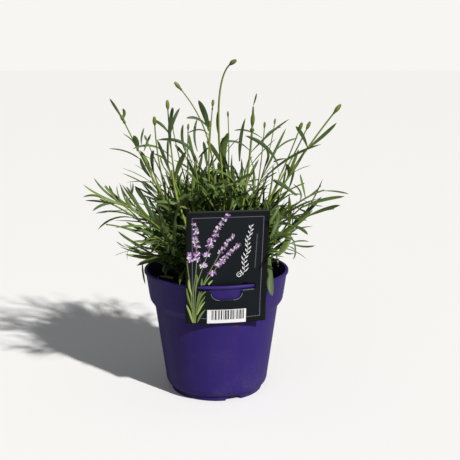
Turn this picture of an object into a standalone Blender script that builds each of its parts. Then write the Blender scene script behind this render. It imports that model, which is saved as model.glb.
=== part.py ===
"""Potted lavender: a 14 cm thin-walled nursery pot, its compost, the plant and a card label on the rim.

Frame, in metres: +Z up, the origin on the pot's axis at the surface that the pot stands on.
-Y is the front. The label hangs there, turned a little towards +X.
"""

import math

import bmesh
import bpy
import numpy as np
from mathutils import Vector, bvhtree, geometry

# ---- Driving dimensions ----------------------------------------------------------------------

POT_HEIGHT = 0.120
RIM_RADIUS = 0.0700
RIM_LIP_HEIGHT = 0.0028
COLLAR_TOP_RADIUS = 0.0684
COLLAR_BOTTOM_RADIUS = 0.0646
COLLAR_BOTTOM_HEIGHT = 0.0912
SHOULDER_RADIUS = 0.0597
SHOULDER_HEIGHT = 0.0842
HEEL_RADIUS = 0.0500
HEEL_HEIGHT = 0.0140
FOOT_RADIUS = 0.0446
FOOT_HEIGHT = 0.0046
FOOT_WIDTH = 0.0022
WALL = 0.0014
POT_SIDES = 48

FOOT_NOTCHES = 3
FOOT_NOTCH_TURN = math.radians(22)
FOOT_NOTCH_WIDTH = 0.0165
FOOT_NOTCH_HEIGHT = 0.0030
FOOT_NOTCH_TOP_SHARE = 0.75
DRAIN_HOLES = 6
DRAIN_HOLE_RADIUS = 0.0036
DRAIN_HOLE_CIRCLE = 0.027

GAP = 0.0004
COMPOST_EDGE_HEIGHT = 0.1045
COMPOST_CROWN_HEIGHT = 0.1090
COMPOST_SIDES = 32

LABEL_TURN = math.radians(8.7)
LABEL_LEAN = math.radians(10.5)
LABEL_HALF_WIDTH = 0.0370
LABEL_ABOVE_SLOT = 0.0720
LABEL_BELOW_SLOT = 0.0370
LABEL_THICKNESS = 0.0006
LABEL_REACH = 0.0656
SLOT_HALF_LENGTH = 0.0266
SLOT_HEIGHT = 0.0046
NOTCH_HALF_WIDTH = 0.0139
NOTCH_DEPTH = 0.0136
NOTCH_CORNER = 0.0070
TONGUE_KERF = 0.0005
LOWER_BOW = 0.0050
LOWER_FLATNESS = 0.70
BOW_EASE = 0.0006
TONGUE_BOW = 0.0010
LABEL_GRID = 0.0060

ROOTING_INNER_RADIUS = 0.0090
ROOTING_OUTER_RADIUS = 0.0320
STEM_START = 0.0012
SPREAD_ACROSS = 0.1250
SPREAD_DEEP = 0.1020
STEM_CLEARANCE = 0.0044
LEAF_THICKNESS = 0.0008
LEAF_CLEARANCE = 0.0003

# ---- Materials: name -> (base colour, roughness) ---------------------------------------------

FINISHES = {
    "pot_plastic": ((0.055, 0.030, 0.190), 0.45),
    "compost": ((0.020, 0.014, 0.010), 0.95),
    "label_card": ((0.018, 0.024, 0.028), 0.40),
    "bark": ((0.120, 0.085, 0.055), 0.85),
    "leaf": ((0.060, 0.120, 0.045), 0.60),
    "flower_stem": ((0.150, 0.230, 0.060), 0.55),
    "dry_leaf": ((0.240, 0.230, 0.130), 0.80),
}


def finish(name):
    """The material of that name, made the first time it is asked for."""
    material = bpy.data.materials.get(name)
    if material is None:
        colour, roughness = FINISHES[name]
        material = bpy.data.materials.new(name)
        material.use_nodes = True
        shader = material.node_tree.nodes["Principled BSDF"]
        shader.inputs["Base Color"].default_value = (*colour, 1.0)
        shader.inputs["Roughness"].default_value = roughness
        shader.inputs["Metallic"].default_value = 0.0
    return material


def add_object(name, points, faces, material):
    """A named object of these points and faces, smooth on its round stretches."""
    mesh = bpy.data.meshes.new(name)
    mesh.from_pydata([tuple(p) for p in points], [], [tuple(f) for f in faces])
    mesh.materials.append(finish(material))
    mesh.shade_smooth()
    mesh.set_sharp_from_angle(angle=math.radians(35))
    obj = bpy.data.objects.new(name, mesh)
    bpy.context.scene.collection.objects.link(obj)
    return obj


def turn_outwards(obj):
    """Turns every face of a closed object to the outside."""
    shape = bmesh.new()
    shape.from_mesh(obj.data)
    bmesh.ops.recalc_face_normals(shape, faces=shape.faces)
    shape.to_mesh(obj.data)
    shape.free()


def add_boolean(obj, cutter, operation):
    """Cuts or joins another object, which is then only a helper."""
    modifier = obj.modifiers.new(cutter.name, "BOOLEAN")
    modifier.operation = operation
    modifier.object = cutter
    cutter.hide_render = True
    cutter.display_type = "WIRE"


def turned(name, profile, sides, material):
    """The solid that a closed (radius, height) profile sweeps in one full turn about Z."""
    shape = bmesh.new()
    corners = [shape.verts.new((radius, 0, height)) for radius, height in profile]
    edges = [shape.edges.new((a, b)) for a, b in zip(corners, corners[1:] + corners[:1])]
    edges = [e for e in edges if max(abs(v.co.x) for v in e.verts) > 1e-6]
    bmesh.ops.spin(
        shape, geom=edges, axis=(0, 0, 1), cent=(0, 0, 0),
        steps=sides, angle=2 * math.pi, use_merge=True, use_duplicate=False,
    )
    bmesh.ops.remove_doubles(shape, verts=shape.verts, dist=1e-6)
    loose = [e for e in shape.edges if not e.link_faces]
    bmesh.ops.delete(shape, geom=loose, context="EDGES")
    bmesh.ops.recalc_face_normals(shape, faces=shape.faces)
    points = [v.co.copy() for v in shape.verts]
    faces = [[v.index for v in f.verts] for f in shape.faces]
    shape.free()
    return add_object(name, points, faces, material)


def tapered_rod(name, start, end, start_radius, end_radius, sides, material):
    """A round rod from one point to another, used for wood and as a cutter."""
    shape = bmesh.new()
    bmesh.ops.create_cone(
        shape, cap_ends=True, segments=sides,
        radius1=start_radius, radius2=end_radius, depth=(end - start).length,
    )
    turn = (end - start).to_track_quat("Z", "Y").to_matrix().to_4x4()
    turn.translation = (start + end) / 2
    bmesh.ops.transform(shape, matrix=turn, verts=shape.verts)
    points = [v.co.copy() for v in shape.verts]
    faces = [[v.index for v in f.verts] for f in shape.faces]
    shape.free()
    return add_object(name, points, faces, material)


# ---- Pot -------------------------------------------------------------------------------------


def arc(centre, radius, first_degrees, last_degrees, steps):
    """Points of a circular arc in the (radius, height) plane."""
    angles = np.radians(np.linspace(first_degrees, last_degrees, steps))
    return [(centre[0] + radius * math.cos(a), centre[1] + radius * math.sin(a)) for a in angles]


def pot_profile():
    """Up the outside from the foot, over the rim's lip, down the inside and across the base."""
    rim_bottom = POT_HEIGHT - RIM_LIP_HEIGHT
    lip_round = RIM_LIP_HEIGHT / 2
    base_top = FOOT_HEIGHT + WALL
    heel_drop = HEEL_HEIGHT - FOOT_HEIGHT
    heel = [
        (FOOT_RADIUS + (HEEL_RADIUS - FOOT_RADIUS) * math.sin(t), HEEL_HEIGHT - heel_drop * math.cos(t))
        for t in np.radians([0, 32, 62, 90])
    ]
    inside_heel = [
        (radius - WALL, max(height + WALL * 0.4, base_top)) for radius, height in reversed(heel[1:])
    ]
    return [
        (FOOT_RADIUS - 0.0003, 0),
        *heel,
        (SHOULDER_RADIUS, SHOULDER_HEIGHT),
        (COLLAR_BOTTOM_RADIUS, COLLAR_BOTTOM_HEIGHT),
        (COLLAR_TOP_RADIUS, rim_bottom),
        *arc((RIM_RADIUS - lip_round, rim_bottom + lip_round), lip_round, -60, 90, 4),
        (COLLAR_TOP_RADIUS - WALL, POT_HEIGHT),
        (COLLAR_BOTTOM_RADIUS - WALL, COLLAR_BOTTOM_HEIGHT),
        (SHOULDER_RADIUS - WALL, SHOULDER_HEIGHT),
        *inside_heel,
        (FOOT_RADIUS - WALL - FOOT_WIDTH / 2, base_top),
        (0, base_top),
        (0, FOOT_HEIGHT),
        (FOOT_RADIUS - FOOT_WIDTH, FOOT_HEIGHT),
        (FOOT_RADIUS - FOOT_WIDTH, 0),
    ]


def add_pot():
    """The moulded pot, with water notches through its foot and drain holes in its base."""
    pot = turned("pot", pot_profile(), POT_SIDES, "pot_plastic")
    for index in range(FOOT_NOTCHES):
        turn = FOOT_NOTCH_TURN + index * 2 * math.pi / FOOT_NOTCHES
        outward = Vector((math.sin(turn), -math.cos(turn), 0))
        along = Vector((math.cos(turn), math.sin(turn), 0)) * FOOT_NOTCH_WIDTH / 2
        reach = (outward * (FOOT_RADIUS - 0.010), outward * (FOOT_RADIUS + 0.010))
        low, high = Vector((0, 0, -0.002)), Vector((0, 0, FOOT_NOTCH_HEIGHT))
        short = along * FOOT_NOTCH_TOP_SHARE
        section = (low + along, low - along, high - short, high + short)
        ring = [r + corner for r in reach for corner in section]
        faces = [(0, 1, 2, 3), (7, 6, 5, 4), (0, 4, 5, 1), (1, 5, 6, 2), (2, 6, 7, 3), (3, 7, 4, 0)]
        cutter = add_object(f"foot_notch_cutter_{index}", ring, faces, "pot_plastic")
        turn_outwards(cutter)
        add_boolean(pot, cutter, "DIFFERENCE")
    for index in range(DRAIN_HOLES):
        turn = (index + 0.5) * 2 * math.pi / DRAIN_HOLES
        foot = Vector((math.cos(turn), math.sin(turn), 0)) * DRAIN_HOLE_CIRCLE
        cutter = tapered_rod(
            f"drain_cutter_{index}", foot, foot + Vector((0, 0, 0.012)),
            DRAIN_HOLE_RADIUS, DRAIN_HOLE_RADIUS, 10, "pot_plastic",
        )
        add_boolean(pot, cutter, "DIFFERENCE")
    return pot


# ---- Compost and woody crown -----------------------------------------------------------------


def inner_radius(height):
    """The pot's inside radius at a height."""
    heights = [FOOT_HEIGHT, HEEL_HEIGHT, SHOULDER_HEIGHT, COLLAR_BOTTOM_HEIGHT, POT_HEIGHT]
    outsides = [FOOT_RADIUS, HEEL_RADIUS, SHOULDER_RADIUS, COLLAR_BOTTOM_RADIUS, COLLAR_TOP_RADIUS]
    return float(np.interp(height, heights, outsides)) - WALL


def compost_top(radius):
    """The compost's height at a distance from the axis: a low dome."""
    share = min(1.0, radius / inner_radius(COMPOST_EDGE_HEIGHT))
    return COMPOST_EDGE_HEIGHT + (COMPOST_CROWN_HEIGHT - COMPOST_EDGE_HEIGHT) * (1 - share * share)


def add_compost():
    """The root ball and its compost, filling the pot to just under the rim."""
    floor = FOOT_HEIGHT + WALL + GAP
    heights = (HEEL_HEIGHT + 0.001, SHOULDER_HEIGHT, COLLAR_BOTTOM_HEIGHT + 0.001, COMPOST_EDGE_HEIGHT)
    clearance = WALL / 2
    outside = [(inner_radius(h) - clearance, h) for h in heights]
    dome = [(r, compost_top(r)) for r in (0.050, 0.034, 0.017)]
    profile = [(0, floor), (FOOT_RADIUS - 0.005, floor), *outside, *dome, (0, COMPOST_CROWN_HEIGHT)]
    return turned("compost", profile, COMPOST_SIDES, "compost")


def add_woody_crown():
    """The old stem at the middle of the plant, with three stubs where it was cut back."""
    foot = Vector((0, 0, COMPOST_CROWN_HEIGHT + GAP))
    crown = tapered_rod("woody_crown", foot, foot + Vector((0, 0, 0.009)), 0.0065, 0.0042, 9, "bark")
    stubs = ((0.6, 28, 0.014), (2.9, 35, 0.012), (4.8, 22, 0.015))
    for index, (turn, lean_degrees, length) in enumerate(stubs):
        lean = math.radians(lean_degrees)
        way = Vector((math.cos(turn) * math.sin(lean), math.sin(turn) * math.sin(lean), math.cos(lean)))
        stub = tapered_rod(
            f"crown_stub_{index}", foot + Vector((0, 0, 0.003)), foot + way * length,
            0.0024, 0.0018, 7, "bark",
        )
        add_boolean(crown, stub, "UNION")
    return crown


# ---- Label -----------------------------------------------------------------------------------


def label_bow(across, up, on_tongue):
    """How far the card bends off its plane: forwards below the slot, backwards on the tongue."""
    if up < 0 and not on_tongue:
        flatter = 1 - LOWER_FLATNESS * min(1.0, -up / LABEL_BELOW_SLOT)
        ahead = LOWER_BOW - flatter * across * across / (2 * COLLAR_BOTTOM_RADIUS)
        return BOW_EASE * math.log1p(math.exp(ahead / BOW_EASE))
    share = 0.5 + 0.5 * math.cos(math.pi * min(1.0, abs(across) / SLOT_HALF_LENGTH))
    return -TONGUE_BOW * share * math.exp(-max(0.0, up) / 0.02)


def label_point(across, up, on_tongue=False, proud=0.0):
    """A point of the card: `across` from its middle, `up` from its slot, `proud` of its mid-surface."""
    outward = Vector((math.sin(LABEL_TURN), -math.cos(LABEL_TURN), 0))
    sideways = Vector((math.cos(LABEL_TURN), math.sin(LABEL_TURN), 0))
    reach = LABEL_REACH + up * math.sin(LABEL_LEAN) + label_bow(across, up, on_tongue) + proud
    height = POT_HEIGHT + GAP + up * math.cos(LABEL_LEAN)
    return sideways * across + outward * reach + Vector((0, 0, height))


def half_notch(half_width, depth, corner):
    """The right half of the D, from the slot down its side and round its corner."""
    turns = np.radians([0, -30, -60, -90])
    centre = (half_width - corner, -depth + corner)
    return [(centre[0] + corner * math.cos(a), centre[1] + corner * math.sin(a)) for a in turns]


def label_slot_outline():
    """The opening's outline: along the slot's top, round the tongue, and back round the notch."""
    radius = SLOT_HEIGHT / 2
    end = SLOT_HALF_LENGTH - radius
    tongue = half_notch(NOTCH_HALF_WIDTH - TONGUE_KERF, NOTCH_DEPTH - TONGUE_KERF, NOTCH_CORNER)
    notch = half_notch(NOTCH_HALF_WIDTH, NOTCH_DEPTH, NOTCH_CORNER)
    turns = np.radians([90, 45, 0, -45, -90])
    slot_end = [(end + radius * math.cos(a), -radius + radius * math.sin(a)) for a in turns]
    right = [(tongue[0][0], 0.0), *slot_end, (notch[0][0], -SLOT_HEIGHT)]
    left = [(-x, y) for x, y in reversed(right)]
    tongue_side = [(-x, y) for x, y in tongue] + list(reversed(tongue))
    notch_side = notch + [(-x, y) for x, y in reversed(notch)]
    return [*tongue_side, *right, *notch_side, *left]


def inside(point, outline):
    """Whether a point lies in a closed outline, by counting the edges to its right."""
    x, y = point
    crossings = 0
    for (x0, y0), (x1, y1) in zip(outline, outline[1:] + outline[:1]):
        if (y0 > y) != (y1 > y) and x < x0 + (y - y0) * (x1 - x0) / (y1 - y0):
            crossings += 1
    return crossings % 2 == 1


def add_label():
    """The card: the pot's lip stands through its slot, and its tongue hangs inside the pot."""
    opening = label_slot_outline()
    rows = np.linspace(-LABEL_BELOW_SLOT, LABEL_ABOVE_SLOT, 8)
    columns = np.arange(-6, 7) * LABEL_HALF_WIDTH / 6
    rim = [(x, y) for x in columns for y in (rows[0], rows[-1])]
    rim += [(x, y) for x in (columns[0], columns[-1]) for y in rows[1:-1]]
    inner = [
        (x, y)
        for x in np.arange(-5, 6) * LABEL_GRID
        for y in (-0.029, -0.0215, -0.0165, 0.008, 0.020, 0.040)
    ]
    inner += [(x, -0.0090) for x in (-0.024, -0.020, -0.0165, 0.0165, 0.020, 0.024)]
    inner += [(x, -0.0060) for x in (-0.006, 0.0, 0.006)]
    corners = [Vector(p) for p in rim + inner + opening]
    first = len(rim) + len(inner)
    loop = [(first + i, first + (i + 1) % len(opening)) for i in range(len(opening))]
    flat, _, triangles, *_ = geometry.delaunay_2d_cdt(corners, loop, [], 0, 1e-7)
    kept = [t for t in triangles if not inside(sum((flat[i] for i in t), Vector((0, 0))) / 3, opening)]
    tongue_half_width = NOTCH_HALF_WIDTH - TONGUE_KERF / 2
    tongue_outline = half_notch(tongue_half_width, NOTCH_DEPTH - TONGUE_KERF / 2, NOTCH_CORNER)
    tongue_outline += [(-x, y) for x, y in reversed(tongue_outline)]
    tongue_outline += [(-tongue_half_width, 0.001), (tongue_half_width, 0.001)]
    points = []
    for proud in (LABEL_THICKNESS / 2, -LABEL_THICKNESS / 2):
        points += [label_point(p.x, p.y, inside(p, tongue_outline), proud) for p in flat]
    count = len(flat)
    faces = []
    for t in kept:
        a, b, c = (flat[i] for i in t)
        if (b - a).cross(c - a) < 0:
            t = t[::-1]
        faces += [tuple(t), tuple(i + count for i in reversed(t))]
    edges = {(f[i], f[(i + 1) % 3]) for f in faces[::2] for i in range(3)}
    faces += [(b, a, a + count, b + count) for a, b in edges if (b, a) not in edges]
    return add_object("label_card", points, faces, "label_card")


# ---- Where stems and leaves can be -----------------------------------------------------------


def in_free_air(points):
    """Whether leaf points keep off the compost, the pot's wall and the label, and inside the spread."""
    x, y, z = np.asarray(points, float).T
    radius = np.hypot(x, y)
    in_compost = (radius < 0.0665) & (z < 0.1105)
    in_wall = (radius > 0.0635) & (radius < 0.0730) & (z < POT_HEIGHT + 0.0015)
    across = x * math.cos(LABEL_TURN) + y * math.sin(LABEL_TURN)
    reach = x * math.sin(LABEL_TURN) - y * math.cos(LABEL_TURN)
    up = (z - POT_HEIGHT) / math.cos(LABEL_LEAN)
    label_side = np.abs(across) < LABEL_HALF_WIDTH + 0.003
    label_rows = (up > -LABEL_BELOW_SLOT - 0.003) & (up < LABEL_ABOVE_SLOT + 0.003)
    past_label = reach > LABEL_REACH + up * math.sin(LABEL_LEAN) - 0.003
    too_wide = (np.abs(x) > SPREAD_ACROSS) | (np.abs(y) > SPREAD_DEEP)
    return not (in_compost | in_wall | (label_side & label_rows & past_label) | too_wide).any()


# ---- Plant -----------------------------------------------------------------------------------

GOLDEN_ANGLE = math.pi * (3 - math.sqrt(5))

# Flower stalks: (tip of the bud, sideways bow of the stalk, bud length, leaf pairs).
FLOWER_STALKS = (
    ((0.016, -0.006, 0.316), (-0.0150, 0.0, 0.045), 0.0125, 4),
    ((-0.039, 0.010, 0.297), (0.0270, 0.0, 0.014), 0.0095, 3),
    ((-0.044, -0.020, 0.282), (-0.004, 0.0, 0.004), 0.0085, 3),
    ((-0.053, -0.045, 0.269), (-0.007, 0.0, 0.004), 0.0085, 2),
    ((-0.003, 0.030, 0.279), (-0.003, 0.0, 0.004), 0.0080, 2),
    ((-0.005, -0.034, 0.265), (-0.004, 0.0, 0.004), 0.0060, 2),
    ((-0.069, 0.022, 0.245), (-0.004, 0.0, 0.006), 0.0070, 2),
    ((-0.028, 0.046, 0.254), (-0.003, 0.004, 0.004), 0.0085, 3),
    ((-0.044, 0.062, 0.252), (-0.003, 0.004, 0.004), 0.0065, 2),
    ((-0.087, -0.016, 0.268), (-0.0060, 0.0, 0.010), 0.0090, 4),
    ((0.011, 0.062, 0.265), (0.004, 0.004, 0.004), 0.0070, 2),
    ((0.034, -0.036, 0.279), (0.006, 0.0, 0.004), 0.0150, 3),
    ((0.047, 0.032, 0.257), (0.004, 0.0, 0.006), 0.0065, 2),
    ((0.057, 0.066, 0.257), (0.006, 0.004, 0.006), 0.0065, 2),
    ((0.078, -0.031, 0.262), (0.006, 0.0, 0.006), 0.0080, 2),
    ((0.090, 0.026, 0.257), (0.006, 0.0, 0.008), 0.0085, 3),
    ((0.115, -0.010, 0.277), (-0.002, 0.0, 0.008), 0.0095, 3),
)

# Rings of leafy shoots round the middle: (count, lean in degrees, length, first direction).
SHOOT_RINGS = (
    (5, 10, 0.112, 0.35),
    (10, 24, 0.116, 0.10),
    (12, 45, 0.114, 0.22),
)
LABEL_SECTOR = math.radians(42)
LEAN_BEHIND_LABEL = 26

# Single shoots that flop over the rim or stand out of the rings: (tip, bow, leaf length).
STRAY_SHOOTS = (
    ((-0.080, -0.036, 0.147), (0.0, 0.0, 0.012), 0.030),
    ((-0.064, -0.008, 0.150), (0.0, 0.0, 0.012), 0.034),
    ((0.050, -0.046, 0.166), (0.0, 0.0, 0.012), 0.042),
    ((-0.060, -0.080, 0.166), (0.0, 0.0, 0.014), 0.038),
    ((0.072, -0.078, 0.170), (0.0, 0.0, 0.014), 0.038),
    ((0.072, -0.024, 0.196), (0.006, 0.0, 0.012), 0.044),
    ((-0.112, 0.006, 0.186), (0.004, 0.0, 0.010), 0.038),
    ((-0.104, -0.016, 0.166), (0.004, 0.0, 0.012), 0.038),
    ((0.114, 0.010, 0.176), (-0.004, 0.0, 0.014), 0.038),
    ((0.100, -0.024, 0.200), (-0.004, 0.0, 0.014), 0.038),
)

SHOOT_PAIRS = 10
SHOOT_LEAF_LENGTH = 0.040
LEAF_WIDTH = 0.0042
STALK_LEAF_LENGTH = 0.036
STALK_LEAFY_SHARE = 0.55


def leafy_shoots():
    """(tip, bow, leaf length, pairs) of every leafy shoot: the rings, then the strays."""
    shoots = []
    draw = np.random.RandomState(7)
    for count, lean_degrees, length, first in SHOOT_RINGS:
        for index in range(count):
            turn = first + (index + draw.uniform(-0.22, 0.22)) * 2 * math.pi / count
            off_label = abs((turn + math.pi / 2 - LABEL_TURN + math.pi) % (2 * math.pi) - math.pi)
            lean = math.radians(lean_degrees + draw.uniform(-5, 5))
            if off_label < LABEL_SECTOR:
                lean = min(lean, math.radians(LEAN_BEHIND_LABEL))
            reach = length * draw.uniform(0.92, 1.10)
            outward = 0.010 + reach * math.sin(lean)
            height = COMPOST_CROWN_HEIGHT + reach * math.cos(lean)
            tip = (outward * math.cos(turn), outward * math.sin(turn), height)
            shoots.append((tip, (0.0, 0.0, 0.010), SHOOT_LEAF_LENGTH, SHOOT_PAIRS))
    shoots += [(tip, bow, leaf, SHOOT_PAIRS) for tip, bow, leaf in STRAY_SHOOTS]
    return shoots


def rooting_places(tips):
    """A foot for each stem: the free place of a sunflower spiral that is nearest its own direction."""
    count = len(tips)
    order = np.arange(count) + 0.5
    inner_square, outer_square = ROOTING_INNER_RADIUS**2, ROOTING_OUTER_RADIUS**2
    out = np.sqrt(inner_square + (outer_square - inner_square) * order / count)
    turns = order * GOLDEN_ANGLE
    places = np.stack([out * np.cos(turns), out * np.sin(turns)], axis=1)
    tips = np.asarray(tips)
    flat = np.hypot(tips[:, 0], tips[:, 1])
    lean = flat / (tips[:, 2] - COMPOST_CROWN_HEIGHT)
    wanted_out = ROOTING_OUTER_RADIUS * np.clip(lean / 1.6, 0.15, 1.0)
    wanted = tips[:, :2] / flat[:, None] * wanted_out[:, None]
    feet = np.zeros((count, 3))
    free = list(range(count))
    for index in np.argsort(-lean):
        nearest = min(free, key=lambda place: float(np.hypot(*(places[place] - wanted[index]))))
        free.remove(nearest)
        x, y = places[nearest]
        feet[index] = x, y, compost_top(math.hypot(x, y)) + STEM_START
    return feet


def stem_line(foot, tip, bow, shares):
    """Points and directions on a stem: a quadratic curve from foot to tip, bowed off the straight."""
    middle = (foot + tip) / 2 + 2 * np.asarray(bow)
    s = np.asarray(shares)[:, None]
    points = (1 - s) ** 2 * foot + 2 * s * (1 - s) * middle + s * s * tip
    along = 2 * (1 - s) * (middle - foot) + 2 * s * (tip - middle)
    return points, along / np.linalg.norm(along, axis=1, keepdims=True)


def settled(foot, tip, bow, lines):
    """The tip and bow, nudged sideways in a growing spiral until the stem runs clear of the others."""
    for step in range(240):
        reach, turn = 0.0011 * math.sqrt(step), step * GOLDEN_ANGLE
        nudge = np.array((reach * math.cos(turn), reach * math.sin(turn), 0))
        new_tip, new_bow = tip + 0.5 * nudge, bow + nudge
        line = stem_line(foot, new_tip, new_bow, np.linspace(0, 1, 70))[0]
        gaps = [np.linalg.norm(line[:, None] - other[None], axis=2).min() for other in lines]
        if in_free_air(line[2:]) and min(gaps, default=1.0) > STEM_CLEARANCE:
            break
    lines.append(line)
    return new_tip, new_bow


def across_stem(along):
    """Two directions square to a stem's own, on which its leaf pairs stand in turn."""
    first = np.array([0.0, 1.0, 0.0]) - along[1] * along
    first /= np.linalg.norm(first)
    return first, np.cross(along, first)


def leaf_line(root, along, outward, length, opening, curl, count):
    """A midrib that leaves the stem at the angle `opening` and bends evenly outwards by `curl`."""
    s = np.linspace(0, 1, count)[:, None]
    turn = opening + curl * s
    run = (np.sin(turn) - math.sin(opening)) / curl
    rise = (math.cos(opening) - np.cos(turn)) / curl
    return root + length * (run * along + rise * outward)


def grown_leaves(foot, tip, bow, pairs, leafy_share, leaf_length, draw):
    """Every leaf of a stem: (share of the stem, face, root, along, outward, length, opening, curl)."""
    shares = 0.14 + (leafy_share - 0.14) * (np.arange(pairs) / (pairs - 1)) ** 0.9
    points, ways = stem_line(foot, tip, bow, shares)
    leaves = []
    for index, (share, root, along) in enumerate(zip(shares, points, ways)):
        first, second = across_stem(along)
        age = index / (pairs - 1)
        for side in range(2):
            face = index % 2 + 2 * side
            outward = (first, second, -first, -second)[face]
            skew = draw.uniform(-0.35, 0.35)
            outward = outward * math.cos(skew) + np.cross(along, outward) * math.sin(skew)
            length = leaf_length * draw.uniform(0.80, 1.10) * (1.0 - 0.35 * age**4)
            opening = math.radians(draw.uniform(18, 34) - 8 * age)
            curl = math.radians(draw.uniform(35, 75) * (1 - 0.55 * age))
            for _ in range(16):
                line = leaf_line(root, along, outward, length, opening, curl, 9)
                if in_free_air(line[1:]):
                    leaves.append((share, face, root, along, outward, length, opening, curl))
                    break
                length *= 0.93
    return leaves


def leaf_rings(leaf, width, thickness):
    """A leaf's middle ring of four corners and its tip, in the order of the stem face under it."""
    share, face, root, along, outward, length, opening, curl = leaf
    line = leaf_line(root, along, outward, length, opening, curl, 5)
    way = line[3] - line[1]
    way /= np.linalg.norm(way)
    side = np.cross(along, outward)
    rise = np.cross(way, side)
    halves = ((-1, -1), (1, -1), (1, 1), (-1, 1))
    middle = [line[2] + side * width / 2 * a + rise * thickness / 2 * b for a, b in halves]
    return middle, line[4]


def tree_of(points, faces):
    return bvhtree.BVHTree.FromPolygons([tuple(p) for p in points], faces)


# Corners 0 to 3 are the leaf's root, 4 to 7 its middle ring and 8 its tip.
LEAF_FACES = (
    (0, 1, 5, 4), (1, 2, 6, 5), (2, 3, 7, 6), (3, 0, 4, 7),
    (4, 5, 8), (5, 6, 8), (6, 7, 8), (7, 4, 8),
    (3, 2, 1, 0),
)


def stem_rings(points, ways, radii):
    """Four corners round each point of a stem. Real lavender stems are square."""
    rings = []
    turns = np.radians([-45, 45, 135, 225])
    for point, along, radius in zip(points, ways, radii):
        first, second = across_stem(along)
        rings.append([point + (first * math.cos(a) + second * math.sin(a)) * radius for a in turns])
    return rings


def tube(rings):
    """Points and faces of a closed square tube through the rings."""
    points = [p for ring in rings for p in ring]
    faces = [(3, 2, 1, 0)]
    for level in range(len(rings) - 1):
        low = 4 * level
        faces += [(low + j, low + (j + 1) % 4, low + 4 + (j + 1) % 4, low + 4 + j) for j in range(4)]
    last = 4 * (len(rings) - 1)
    faces.append((last, last + 1, last + 2, last + 3))
    return points, faces


class Stem:
    """A leafy shoot or a flower stalk: its curve, its ring levels and the leaves that it keeps."""

    def __init__(self, name, foot, tip, bow, pairs, leafy_share, leaf_length, bud_length, seed):
        self.name = name
        self.foot, self.tip, self.bow = foot, tip, bow
        self.length = float(np.linalg.norm(self.tip - foot))
        self.bud_length = bud_length
        draw = np.random.RandomState(seed)
        grown = grown_leaves(foot, self.tip, bow, pairs, leafy_share, leaf_length, draw)
        kept_shares = sorted({leaf[0] for leaf in grown})[::2]
        self.leaves = [leaf for leaf in grown if leaf[0] in kept_shares]
        self.shares, self.radii = self.levels(sorted({leaf[0] for leaf in self.leaves}))
        points, ways = stem_line(foot, self.tip, bow, self.shares)
        self.rings = stem_rings(points, ways, self.radii)
        self.kept = []

    def levels(self, leaf_shares):
        """Shares of the length at which the stem has a ring, and the radius there."""
        half = 0.0011 / self.length
        shares = [0.0]
        for share in leaf_shares:
            shares += [share - half, share + half]
        body = 0.0013 if self.bud_length == 0 else 0.0011
        if self.bud_length:
            start = 1 - self.bud_length / self.length
            shares = [s for s in shares if s < start - 0.02]
            shares += [s for s in (0.5, 0.62, 0.74, 0.86) if shares[-1] + 0.04 < s < start - 0.04]
            radii = [body * (1 - 0.35 * s) for s in shares]
            bud = ((0.0, 0.0008), (0.22, 0.0024), (0.60, 0.0026), (0.88, 0.0014), (1.0, 0.0004))
            shares += [start + (1 - start) * s for s, _ in bud]
            radii += [radius for _, radius in bud]
        else:
            shares += [1.0]
            radii = [body * (1 - 0.55 * s) for s in shares]
        return shares, radii

    def keep_clear_leaves(self, stems, grown_trees):
        """Keeps each leaf that runs into no other stem and no leaf grown before it."""
        for leaf in self.leaves:
            tree = self.leaf_tree(leaf)
            in_stem = any(tree.overlap(stem.tree) for stem in stems)
            if not in_stem and not any(tree.overlap(other) for other in grown_trees):
                self.kept.append(leaf)
                grown_trees.append(tree)

    def leaf_base(self, leaf):
        """The numbers of the four stem corners that a leaf grows from."""
        low, face = 4 * (int(np.searchsorted(self.shares, leaf[0])) - 1), leaf[1]
        return low + face, low + (face + 1) % 4, low + 4 + (face + 1) % 4, low + 4 + face

    def leaf_tree(self, leaf):
        """A leaf's solid, just off its stem and thicker by the clearance, for overlap tests."""
        points = np.array([p for ring in self.rings for p in ring])
        base = points[list(self.leaf_base(leaf))] + leaf[4] * LEAF_CLEARANCE * 2
        base += (base - base.mean(axis=0)) * LEAF_CLEARANCE / 0.0015
        room = 2 * LEAF_CLEARANCE
        middle, tip = leaf_rings(leaf, LEAF_WIDTH + room, LEAF_THICKNESS + room)
        return tree_of([*base, *middle, tip + (tip - middle[0]) * 0.02], LEAF_FACES)

    @property
    def tree(self):
        if not hasattr(self, "_tree"):
            self._tree = tree_of(*tube(self.rings))
        return self._tree

    def add(self, material):
        """The stem with its leaves drawn out of its side faces, as one closed body."""
        points, faces = tube(self.rings)
        for leaf in self.kept:
            base = self.leaf_base(leaf)
            faces.remove(base)
            middle, tip = leaf_rings(leaf, LEAF_WIDTH, LEAF_THICKNESS)
            new = len(points)
            points += [*middle, tip]
            numbered = (*base, new, new + 1, new + 2, new + 3, new + 4)
            faces += [tuple(numbered[i] for i in f) for f in LEAF_FACES[:-1]]
        return add_object(self.name, points, faces, material)


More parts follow.
